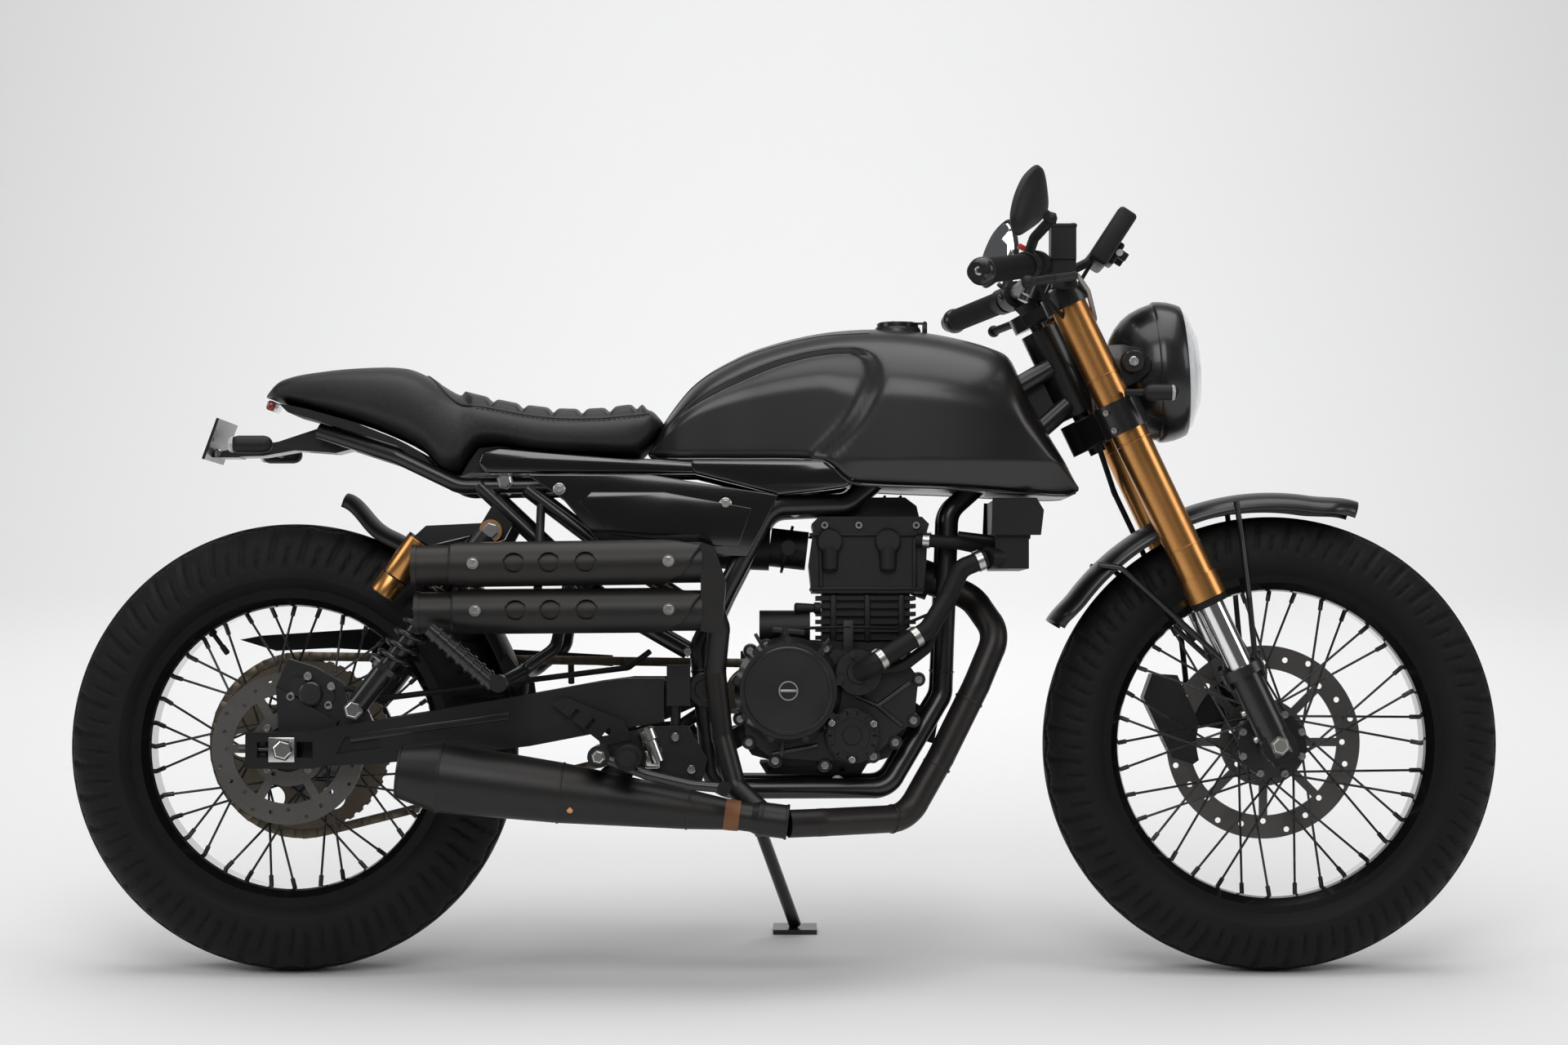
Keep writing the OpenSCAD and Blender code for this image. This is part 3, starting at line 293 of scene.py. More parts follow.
@dataclass(frozen=True)
class Glass:
    """A clear or tinted lens.

    Attributes:
        name: the material's name.
        colour: its tint.
        roughness: its surface roughness.
        alpha: how much of it is seen.
        lines: moulded ribs a metre, or none.
    """

    name: str
    colour: Colour
    roughness: float = 0.04
    alpha: float = 0.25
    lines: float = 0.0

    def material(self) -> bpy.types.Material:
        """Builds the material once, and returns it."""
        found = bpy.data.materials.get(self.name)
        if found:
            return found
        material = bpy.data.materials.new(self.name)
        material.use_nodes = True
        tree = material.node_tree
        shader = tree.nodes["Principled BSDF"]
        shader.inputs["Base Color"].default_value = (*self.colour, 1)
        shader.inputs["Roughness"].default_value = self.roughness
        shader.inputs["Alpha"].default_value = self.alpha
        shader.inputs["Coat Weight"].default_value = 1.0
        shader.inputs["Coat Roughness"].default_value = 0.03
        place = tree.nodes.new("ShaderNodeTexCoord").outputs["Object"]
        wave = tree.nodes.new("ShaderNodeTexWave")
        wave.bands_direction = "Y"
        wave.inputs["Scale"].default_value = max(1.0, self.lines)
        wave.inputs["Distortion"].default_value = 0.5
        bump = tree.nodes.new("ShaderNodeBump")
        bump.inputs["Strength"].default_value = 0.3 if self.lines else 0.02
        bump.inputs["Distance"].default_value = 0.001
        tree.links.new(place, wave.inputs["Vector"])
        tree.links.new(wave.outputs["Fac"], bump.inputs["Height"])
        tree.links.new(bump.outputs["Normal"], shader.inputs["Normal"])
        return material


CLEAR_LENS = Glass("clear_lens", (0.8, 0.83, 0.85), alpha=0.34)
INDICATOR_LENS = Glass("indicator_lens", (0.75, 0.75, 0.72), alpha=0.55, lines=140)
RED_LENS = Glass("red_lens", (0.35, 0.01, 0.01), alpha=0.9, lines=120)
MIRROR_GLASS = Finish("mirror_glass", (0.8, 0.82, 0.84), Grain.MACHINED, 1.0, 0.05, spread=0.02, bump=0.004,
    worn=(0.7, 0.72, 0.74), wear=0.2)
SCREEN = Glass("dark_screen", (0.012, 0.014, 0.016), roughness=0.08, alpha=1.0)

AnyFinish = Finish | Glass


# ---------------------------------------------------------------- bench tools


def smooth_line(points: Sequence[tuple[float, float]]) -> Callable[[float], float]:
    """A smooth curve through a few points.

    Args:
        points: pairs of place and value, by rising place.

    Returns:
        A function from place to value, level beyond both ends.
    """
    places = [p[0] for p in points]
    values = [p[1] for p in points]
    last = len(points) - 1
    slopes = []
    for i in range(last + 1):
        a, b = max(i - 1, 0), min(i + 1, last)
        slopes.append((values[b] - values[a]) / (places[b] - places[a]))

    def value(x: float) -> float:
        """The curve's value at x."""
        if x <= places[0]:
            return values[0]
        if x >= places[last]:
            return values[last]
        i = max(k for k in range(last) if places[k] <= x)
        width = places[i + 1] - places[i]
        t = (x - places[i]) / width
        low = values[i] * (1 + 2 * t) * (1 - t) ** 2 + values[i + 1] * t * t * (3 - 2 * t)
        return low + width * (slopes[i] * t * (1 - t) ** 2 - slopes[i + 1] * t * t * (1 - t))

    return value


def step(low: float, high: float, x: float) -> float:
    """A smooth rise from 0 at low to 1 at high."""
    t = min(1.0, max(0.0, (x - low) / (high - low)))
    return t * t * (3 - 2 * t)


def rounded_path(corners: Sequence[Vector], bend: float, turns: int = 8) -> list[Vector]:
    """A path through corners, each inner one rounded.

    Args:
        corners: the path's corners.
        bend: the radius at each inner corner.
        turns: steps round each corner.

    Returns:
        The path's points.
    """
    path = [corners[0]]
    for before, corner, after in zip(corners, corners[1:], corners[2:]):
        into = (corner - before).normalized()
        out = (after - corner).normalized()
        angle = into.angle(out)
        if angle < 0.01:
            path.append(corner)
            continue
        back = bend * math.tan(angle / 2)
        start, end = corner - into * back, corner + out * back
        for i in range(turns + 1):
            t = i / turns
            path.append(start * (1 - t) ** 2 + corner * (2 * t * (1 - t)) + end * t * t)
    path.append(corners[-1])
    return path


class Bench:
    """Bench tools. Each makes one object by ordinary modelling steps."""

    @staticmethod
    def clear() -> None:
        """Leaves nothing selected."""
        if bpy.context.mode != "OBJECT":
            bpy.ops.object.mode_set(mode="OBJECT")
        bpy.ops.object.select_all(action="DESELECT")

    @staticmethod
    def pick(piece: bpy.types.Object) -> None:
        """Makes one object the only one selected."""
        Bench.clear()
        piece.select_set(True)
        bpy.context.view_layer.objects.active = piece

    @staticmethod
    def heal(piece: bpy.types.Object, gap: float = 2e-5) -> None:
        """Merges doubled points and turns every face outwards."""
        Bench.pick(piece)
        bpy.ops.object.mode_set(mode="EDIT")
        bpy.ops.mesh.select_all(action="SELECT")
        bpy.ops.mesh.remove_doubles(threshold=gap)
        bpy.ops.mesh.normals_make_consistent(inside=False)
        bpy.ops.object.mode_set(mode="OBJECT")

    @staticmethod
    def smooth(piece: bpy.types.Object, degrees: float = 40) -> bpy.types.Object:
        """Shades smooth, but leaves edges sharper than an angle crisp."""
        Bench.pick(piece)
        bpy.ops.object.shade_smooth_by_angle(angle=math.radians(degrees))
        return piece

    @staticmethod
    def grid(name: str, across: int, along: int, shape: Callable[[float, float], Vector],
            capped: bool = False, sharp: float = 40) -> bpy.types.Object:
        """A sheet of squares laid over a shape.

        Args:
            name: the piece's name.
            across: squares in the first direction.
            along: squares in the second direction.
            shape: where the sheet's place (0 to 1, 0 to 1) goes.
            capped: whether holes left at the ends are filled.
            sharp: the angle in degrees past which an edge stays crisp.

        Returns:
            The piece.
        """
        Bench.clear()
        bpy.ops.mesh.primitive_grid_add(x_subdivisions=across, y_subdivisions=along, size=2)
        piece = bpy.context.object
        piece.name = name
        for vertex in piece.data.vertices:
            vertex.co = shape((vertex.co.x + 1) / 2, (vertex.co.y + 1) / 2)
        Bench.heal(piece)
        if capped:
            bpy.ops.object.mode_set(mode="EDIT")
            bpy.ops.mesh.select_all(action="DESELECT")
            bpy.ops.mesh.select_non_manifold(extend=False)
            bpy.ops.mesh.fill_holes(sides=0)
            bpy.ops.mesh.select_all(action="SELECT")
            bpy.ops.mesh.normals_make_consistent(inside=False)
            bpy.ops.object.mode_set(mode="OBJECT")
        return Bench.smooth(piece, sharp)

    @staticmethod
    def lathe(name: str, outline: Sequence[tuple[float, float]], start: Vector, axis: Vector,
            steps: int = 48, sharp: float = 35) -> bpy.types.Object:
        """A turned piece.

        Args:
            name: the piece's name.
            outline: pairs of distance along the axis and radius, in metres.
            start: where the axis starts.
            axis: which way it runs.
            steps: facets round it.
            sharp: the angle in degrees past which an edge stays crisp.

        Returns:
            The piece.
        """
        forward = axis.normalized()
        side = forward.orthogonal().normalized()
        other = forward.cross(side)
        last = len(outline) - 1

        def shape(u: float, v: float) -> Vector:
            """A point of the turned surface."""
            along, radius = outline[round(v * last)]
            turn = 2 * math.pi * u
            around = side * math.cos(turn) + other * math.sin(turn)
            return start + forward * along + around * radius

        return Bench.grid(name, steps, last, shape, capped=True, sharp=sharp)

    @staticmethod
    def tube(name: str, path: Sequence[Vector], radius: float, closed: bool = False,
            sides: int = 4) -> bpy.types.Object:
        """A round tube along a path, capped at its ends.

        Args:
            name: the piece's name.
            path: its points.
            radius: its radius.
            closed: whether it is a loop.
            sides: a quarter of the facets round it.

        Returns:
            The piece, as a mesh.
        """
        Bench.clear()
        bpy.ops.curve.primitive_nurbs_path_add()
        piece = bpy.context.object
        piece.name = name
        curve = piece.data
        curve.splines.clear()
        spline = curve.splines.new("POLY")
        spline.points.add(len(path) - 1)
        for point, place in zip(spline.points, path):
            point.co = (*place, 1)
        spline.use_cyclic_u = closed
        curve.dimensions = "3D"
        curve.bevel_depth = radius
        curve.bevel_resolution = sides
        curve.use_fill_caps = True
        Bench.pick(piece)
        bpy.ops.object.convert(target="MESH")
        piece = bpy.context.object
        return Bench.smooth(piece, 50)

    @staticmethod
    def plate(name: str, outline: Sequence[Vector], depth: Vector, bevel: float = 0.0015,
            segments: int = 2) -> bpy.types.Object:
        """A flat plate with softened edges.

        Args:
            name: the piece's name.
            outline: its corners, in order, in one plane.
            depth: the way and distance that it is thickened.
            bevel: the width of its softened edges.
            segments: facets across each softened edge.

        Returns:
            The piece.
        """
        Bench.clear()
        bpy.ops.mesh.primitive_circle_add(vertices=len(outline), fill_type="NGON")
        piece = bpy.context.object
        piece.name = name
        for vertex, place in zip(piece.data.vertices, outline):
            vertex.co = place
        bpy.ops.object.mode_set(mode="EDIT")
        bpy.ops.mesh.select_all(action="SELECT")
        bpy.ops.mesh.extrude_region_move(TRANSFORM_OT_translate={"value": depth})
        bpy.ops.mesh.select_all(action="SELECT")
        bpy.ops.mesh.normals_make_consistent(inside=False)
        bpy.ops.object.mode_set(mode="OBJECT")
        return Bench.soften(piece, bevel, segments)

    @staticmethod
    def block(name: str, centre: Vector, size: Vector, turn: Matrix | None = None, bevel: float = 0.002,
            segments: int = 3) -> bpy.types.Object:
        """A box with softened edges.

        Args:
            name: the piece's name.
            centre: its middle.
            size: its three sides.
            turn: how it is turned about its middle.
            bevel: the width of its softened edges.
            segments: facets across each softened edge.

        Returns:
            The piece.
        """
        Bench.clear()
        bpy.ops.mesh.primitive_cube_add(size=1)
        piece = bpy.context.object
        piece.name = name
        for vertex in piece.data.vertices:
            corner = Vector([a * b for a, b in zip(vertex.co, size)])
            vertex.co = centre + (turn.to_3x3() @ corner if turn else corner)
        return Bench.soften(piece, bevel, segments)

    @staticmethod
    def thicken(piece: bpy.types.Object, thickness: float, offset: float = -1) -> None:
        """Gives a sheet its thickness by a modifier and applies it.

        Args:
            piece: the sheet.
            thickness: how thick it becomes, in metres.
            offset: -1 to grow inwards, 0 to grow both ways.
        """
        Bench.pick(piece)
        modifier = piece.modifiers.new("Solidify", "SOLIDIFY")
        modifier.thickness = thickness
        modifier.offset = offset
        bpy.ops.object.modifier_apply(modifier=modifier.name)

    @staticmethod
    def soften(piece: bpy.types.Object, width: float, segments: int) -> bpy.types.Object:
        """Bevels a piece's edges by a modifier and applies it."""
        Bench.pick(piece)
        modifier = piece.modifiers.new("Bevel", "BEVEL")
        modifier.width = width
        modifier.segments = segments
        modifier.limit_method = "ANGLE"
        bpy.ops.object.modifier_apply(modifier=modifier.name)
        return Bench.smooth(piece, 35)

    @staticmethod
    def bolt(name: str, seat: Vector, out: Vector, radius: float, height: float,
            socket: bool = True) -> bpy.types.Object:
        """A bolt's head: a socket cap, or a hexagon with a washer.

        Args:
            name: the piece's name.
            seat: the middle of the face that it sits on.
            out: which way it stands out.
            radius: the head's radius.
            height: how far it stands out.
            socket: whether it is a socket cap.

        Returns:
            The piece.
        """
        if socket:
            outline = [(0, 0), (0, radius), (height * 0.8, radius), (height, radius * 0.85),
                (height, radius * 0.5), (height * 0.45, radius * 0.46), (height * 0.45, 0)]
            return Bench.lathe(name, outline, seat, out, 18)
        washer = [(0, 0), (0, radius * 1.25), (height * 0.22, radius * 1.25), (height * 0.22, radius),
            (height * 0.9, radius), (height, radius * 0.86), (height, 0)]
        return Bench.lathe(name, washer, seat, out, 6, sharp=20)

    @staticmethod
    def join(name: str, pieces: Sequence[bpy.types.Object]) -> bpy.types.Object:
        """Joins several objects into one, under one name."""
        Bench.pick(pieces[0])
        for piece in pieces[1:]:
            piece.select_set(True)
        if len(pieces) > 1:
            bpy.ops.object.join()
        joined = bpy.context.object
        joined.name = name
        return joined

    @staticmethod
    def dashes(name: str, path: Sequence[Vector], radius: float, length: float,
            gap: float) -> bpy.types.Object:
        """A row of stitches along a path.

        Args:
            name: the piece's name.
            path: the line that they follow.
            radius: the thread's radius.
            length: a stitch's length.
            gap: the space between stitches.

        Returns:
            The piece.
        """
        stitches = []
        travelled, due = 0.0, 0.0
        for a, b in zip(path, path[1:]):
            reach = (b - a).length
            while due < travelled + reach:
                start = a.lerp(b, (due - travelled) / reach)
                end = start + (b - a).normalized() * length
                stitches.append(Bench.tube(name, [start, end], radius, sides=1))
                due += length + gap
            travelled += reach
        return Bench.join(name, stitches)


class Catalogue:
    """Dresses each finished piece, hangs it on its body and reports it."""

    def __init__(self) -> None:
        """Starts an empty list of pieces."""
        self.count = 0

    def add(self, piece: bpy.types.Object, body: str, finish: AnyFinish, slot: str,
            stands_for: Sequence[str] = (), upright: bool = True) -> bpy.types.Object:
        """Finishes one piece.

        Args:
            piece: the object, at the origin.
            body: the body that it rides on.
            finish: its finish.
            slot: the name of a material slot; not used.
            stands_for: CAD nodes that it replaces.
            upright: whether its mesh still has to be leaned over.

        Returns:
            The piece.
        """
        piece.data.materials.clear()
        piece.data.materials.append(finish.material())
        if upright:
            STANCE.lean_over(piece)
        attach(piece, body)
        if stands_for:
            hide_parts(*stands_for)
        self.count += 1
        LOG.info("%s: %d faces", piece.name, len(piece.data.polygons))
        return piece

    def dress(self, node: str, finish: AnyFinish) -> None:
        """Gives a CAD node its finish."""
        piece = frame["nodes"][node]
        piece.data.materials.clear()
        piece.data.materials.append(finish.material())


CATALOGUE = Catalogue()


# ---------------------------------------------------------------- wheels


@dataclass
class Assembly:
    """A group of pieces that ride on one body.

    Attributes:
        body: the body that they ride on.
    """

    body: str = "frame"

    def fit(self, name: str, pieces: Sequence[bpy.types.Object], finish: AnyFinish, slot: str,
            *stands_for: str) -> None:
        """Joins pieces into one, and hands it to the catalogue.

        Args:
            name: the joined piece's name.
            pieces: what is joined.
            finish: its finish.
            slot: the name of a material slot; not used.
            stands_for: the CAD nodes that it replaces.
        """
        self.put(Bench.join(name, pieces), finish, slot, *stands_for)

    def put(self, piece: bpy.types.Object, finish: AnyFinish, slot: str, *stands_for: str) -> None:
        """Hands one piece to the catalogue.

        Args:
            piece: the object, at the origin.
            finish: its finish.
            slot: the name of a material slot; not used.
            stands_for: the CAD nodes that it replaces.
        """
        CATALOGUE.add(piece, self.body, finish, slot, stands_for)


@dataclass
class Tyre:
    """A tyre with its tread.

    Attributes:
        name: the piece's name.
        node: the CAD node that it stands for.
        body: the body that it rides on.
        centre: the axle's middle.
        outer: radius to the tread.
        half: half its width.
        bead: radius to the bead.
        bead_half: half the width at the bead.
        blocks: tread pitches round it.
    """

    name: str
    node: str
    body: str
    centre: Vector
    outer: float
    half: float
    bead: float
    bead_half: float
    blocks: int

    def section(self, v: float) -> tuple[float, float]:
        """Radius and side of the carcass at v, from bead to bead."""
        ring = self.outer - self.half
        t = (v - 0.5) * 2
        if abs(t) <= 0.72:
            angle = t / 0.72 * math.radians(96)
            return ring + self.half * math.cos(angle), self.half * math.sin(angle)
        side = math.copysign(1, t)
        fall = (abs(t) - 0.72) / 0.28
        top_r = ring + self.half * math.cos(math.radians(96))
        top_y = self.half * math.sin(math.radians(96))
        bulge = math.sin(fall * math.pi) * 0.003
        return (top_r + (self.bead - top_r) * fall, side * (top_y + (self.bead_half - top_y) * fall
            + bulge))

    def groove(self, u: float, v: float) -> float:
        """Depth of the tread's grooves: a wandering centre line and swept side cuts."""
        t = (v - 0.5) * 2 / 0.72
        pitch = (u * self.blocks) % 1.0
        wander = 0.1 * (abs(pitch * 2 - 1) * 2 - 1)
        depth = 0.0045 * (1 - step(0.018, 0.034, abs(abs(t) - 0.2 - wander * 0.5)))
        if abs(t) < 0.9:
            sweep = (u * self.blocks + 0.45 * math.copysign(abs(t) ** 0.8, t) + 0.25) % 1.0
            edge = abs(sweep - 0.5)
            reach = step(0.24, 0.34, abs(t)) * (1 - step(0.78, 0.9, abs(t)))
            depth = max(depth, 0.0045 * reach * (1 - step(0.06, 0.11, edge)))
            second = abs((sweep + 0.5) % 1.0 - 0.5)
            reach = step(0.5, 0.58, abs(t)) * (1 - step(0.84, 0.96, abs(t)))
            depth = max(depth, 0.0035 * reach * (1 - step(0.04, 0.08, second)))
        return depth

    def side_rings(self, v: float) -> float:
        """Height of the moulded rings on the sidewall."""
        t = abs((v - 0.5) * 2)
        rings = (0.755, 0.79, 0.93)
        return sum(0.0012 * (1 - step(0.004, 0.012, abs(t - ring))) for ring in rings)

    def point(self, u: float, v: float) -> Vector:
        """A point of the tyre's skin."""
        radius, side = self.section(v)
        ring = self.outer - self.half
        normal = Vector((max(radius - ring, 0.0), side)).normalized()
        move = self.side_rings(v) - self.groove(u, v)
        radius, side = radius + normal.x * move, side + normal.y * move
        turn = 2 * math.pi * u
        return self.centre + Vector((radius * math.cos(turn), side, radius * math.sin(turn)))

    def build(self) -> None:
        """Models the tyre and hangs it on its wheel."""
        skin = Bench.grid(self.name, self.blocks * 16, 72, self.point, sharp=60)
        liner = Bench.grid(self.name + "_bead", 96, 2, self.bead_point, sharp=60)
        tyre = Bench.join(self.name, [skin, liner])
        Bench.heal(tyre)
        CATALOGUE.add(tyre, self.body, TYRE, self.node, [self.node])

    def bead_point(self, u: float, v: float) -> Vector:
        """A point of the band that closes the tyre between its beads."""
        turn = 2 * math.pi * u
        radius = self.bead + 0.002
        return self.centre + Vector((radius * math.cos(turn), self.bead_half * (2 * v - 1), radius
            * math.sin(turn)))


@dataclass
class Wheels:
    """Both wheels: tyres, valves, and the bolts of their hubs, discs and sprocket."""

    tyres: list[Tyre] = field(default_factory=lambda: [Tyre("front_tread", "front_tyre", "front_wheel",
        FRONT_AXLE, 0.317, 0.056, 0.231, 0.037, 44), Tyre("rear_tread", "rear_tyre", "rear_wheel",
        REAR_AXLE, 0.312, 0.067, 0.218, 0.044, 40)])

    def build(self) -> None:
        """Builds and dresses both wheels."""
        for tyre in self.tyres:
            tyre.build()
        for node in ("front_rim", "rear_rim"):
            CATALOGUE.dress(node, GLOSS_BLACK)
        for node in ("front_hub", "rear_hub"):
            CATALOGUE.dress(node, SATIN_BLACK)
        for node in ("front_spokes", "rear_spokes"):
            CATALOGUE.dress(node, BARE_SPOKE)
        for node in ("front_disc", "rear_disc"):
            CATALOGUE.dress(node, DISC_STEEL)
        CATALOGUE.dress("rear_sprocket", CHAIN_STEEL)
        self.valves()
        self.hub_bolts("front_hub_bolts", "front_wheel", FRONT_AXLE, 0.044, -0.0362, -1, 8, "front_hub")
        self.hub_bolts("front_disc_bolts", "front_wheel", FRONT_AXLE, 0.048, 0.064, 1, 6, "front_disc")
        self.hub_bolts("rear_disc_bolts", "rear_wheel", REAR_AXLE, 0.040, -0.0775, -1, 4, "rear_disc")
        self.hub_bolts("sprocket_bolts", "rear_wheel", REAR_AXLE, 0.052, 0.085, 1, 6, "rear_sprocket")

    def valves(self) -> None:
        """Adds a valve stem to each rim."""
        for name, body, centre, well in (("front_valve", "front_wheel", FRONT_AXLE, 0.213), ("rear_valve",
                "rear_wheel", REAR_AXLE, 0.197)):
            inward = Vector((math.cos(2.2), 0, math.sin(2.2))) * -1
            start = centre - inward * (well + 0.002)
            outline = [(0, 0), (0, 0.006), (0.004, 0.006), (0.006, 0.0035), (0.024, 0.0033),
                (0.025, 0.0042), (0.036, 0.0042), (0.038, 0.003), (0.038, 0)]
            valve = Bench.lathe(name, outline, start, inward, 16)
            CATALOGUE.add(valve, body, RUBBER, body.replace("wheel", "tyre"))

    def hub_bolts(self, name: str, body: str, centre: Vector, ring: float, side: float, out: int,
            count: int, slot: str) -> None:
        """Adds a ring of bolts round a hub.

        Args:
            name: the piece's name.
            body: the wheel's body.
            centre: the axle's middle.
            ring: the radius of the bolts' circle.
            side: where their seat lies across the machine.
            out: 1 if they face left, -1 if right.
            count: how many bolts.
            slot: the name of a material slot; not used.
        """
        bolts = []
        for i in range(count):
            turn = 2 * math.pi * (i + 0.5) / count
            seat = centre + Vector((ring * math.cos(turn), side, ring * math.sin(turn)))
            bolts.append(Bench.bolt(name, seat, Vector((0, out, 0)), 0.0055, 0.006))
        CATALOGUE.add(Bench.join(name, bolts), body, BARE_STEEL, slot)


# ---------------------------------------------------------------- seat


@dataclass
class Seat(Assembly):
    """The leather seat: a tail hump, side skirts and a pleated pad.

    Attributes:
        rolls: where the pad's channels lie along the machine, in millimetres.
        channel: half the width of a channel, in millimetres.
        depth: how deep a channel is, in millimetres.
    """

    rolls: tuple[float, ...] = (232, 281, 323, 365, 405, 443, 480)
    channel: float = 5.0
    depth: float = 7.0

    def __post_init__(self) -> None:
        """Sets out the seat's lines, in millimetres along the machine."""
        self.top = smooth_line([(-38, 803), (-10, 824), (51, 836), (120, 841), (162, 839), (190, 828),
            (231, 804), (288, 788), (337, 779), (383, 775), (430, 776), (472, 781), (500, 781), (516, 770)])
        self.bottom = smooth_line([(-38, 799), (-17, 792), (26, 782), (91, 764), (147, 742), (186, 721),
            (200, 706), (214, 692), (238, 691), (250, 709), (264, 726), (294, 729), (346, 719), (420, 715),
            (480, 714), (500, 733), (516, 752)])
        self.width = smooth_line([(-38, 46), (-20, 72), (40, 94), (140, 111), (260, 119), (380, 121),
            (470, 112), (516, 92)])

    def pad(self, x: float, across: float) -> float:
        """The height of the pleated pad over the cover, in millimetres.

        Args:
            x: the place along the machine.
            across: the place across the cover, from 0 at its middle to 1 at its edge.

        Returns:
            The height, with its channels taken out.
        """
        start = 232 + 26 * across ** 2
        inside = step(start, start + 7, x) * (1 - step(486, 496, x)) * (1 - step(0.8, 0.87, across))
        cut = sum(math.exp(-((x - roll) / self.channel) ** 2) for roll in self.rolls)
        sag = 2.5 * math.exp(-(across / 0.3) ** 2)
        return inside * (9 - self.depth * min(1.0, cut) - sag)

    def point(self, u: float, v: float) -> Vector:
        """A point of the cover: u goes round it, v along it."""
        x = -38 + 554 * (v + 0.015 * math.sin(2 * math.pi * v))
        end = min(1.0, max(0.0, (x + 38.01) / 26), max(0.0, (516.01 - x) / 20))
        tip = math.sqrt(max(0.0, 1 - (1 - end) ** 2))
        turn = 2 * math.pi * u
        middle = self.bottom(x) + (self.top(x) - self.bottom(x)) * 0.42
        c, s = math.cos(turn), math.sin(turn)
        wide = math.copysign(abs(c) ** 0.62, c) * self.width(x) * (0.35 + 0.65 * tip)
        if s >= 0:
            hump = step(250, 180, x) if x < 250 else 0.0
            rise = abs(s) ** (0.72 - 0.12 * hump) * (self.top(x) - middle) * (0.4 + 0.6 * tip)
            across = min(1.0, abs(wide) / self.width(x))
            lift = self.pad(x, across) * step(0.2, 0.5, s)
            return mm(x, wide, middle + rise + lift)
        under = 1 - 0.1 * abs(s)
        return mm(x, wide * under, middle - abs(s) ** 0.55 * (middle - self.bottom(x)) * (0.4 + 0.6 * tip))

    def build(self) -> None:
        """Models the cover, its piping and its stitching."""
        cover = Bench.grid("seat_cover", 96, 210, self.point, capped=True, sharp=70)
        self.put(cover, LEATHER, "seat", "seat")
        seams = []
        for side in (-1, 1):
            hem = [self.on_side(x, side, 0.86) for x in range(258, 500, 8)]
            hump = [self.on_hump(t / 14, side) for t in range(15)]
            seams.append(Bench.tube("piping", rounded_path(hump + hem, 0.002, 2), 0.0014, sides=2))
            lower = [self.on_side(x, side, 0.9) for x in range(262, 500, 8)]
            seams.append(Bench.dashes("stitch", lower, 0.0005, 0.004, 0.003))
        piping = Bench.join("seat_piping", seams)
        self.put(piping, THREAD_BLACK, "seat")
        CATALOGUE.dress("seat_base", MOULDED)

    def on_side(self, x: float, side: int, across: float) -> Vector:
        """A point on the cover's shoulder, where it is that share of its half width."""
        middle = self.bottom(x) + (self.top(x) - self.bottom(x)) * 0.42
        c = across ** (1 / 0.62)
        rise = math.sqrt(1 - c * c) ** 0.72 * (self.top(x) - middle)
        return mm(x, side * self.width(x) * across, middle + rise + 0.6)

    def on_hump(self, t: float, side: int) -> Vector:
        """A point of the hump's front seam, from its middle at 0 to its foot at 1."""
        x = 186 + 70 * t ** 1.6
        across = 0.86 * math.sin(t * math.pi / 2)
        middle = self.bottom(x) + (self.top(x) - self.bottom(x)) * 0.42
        c = across ** (1 / 0.62)
        rise = math.sqrt(1 - c * c) ** 0.66 * (self.top(x) - middle)
        return mm(x, side * self.width(x) * across, middle + rise + 0.6)


# ---------------------------------------------------------------- tank and panels


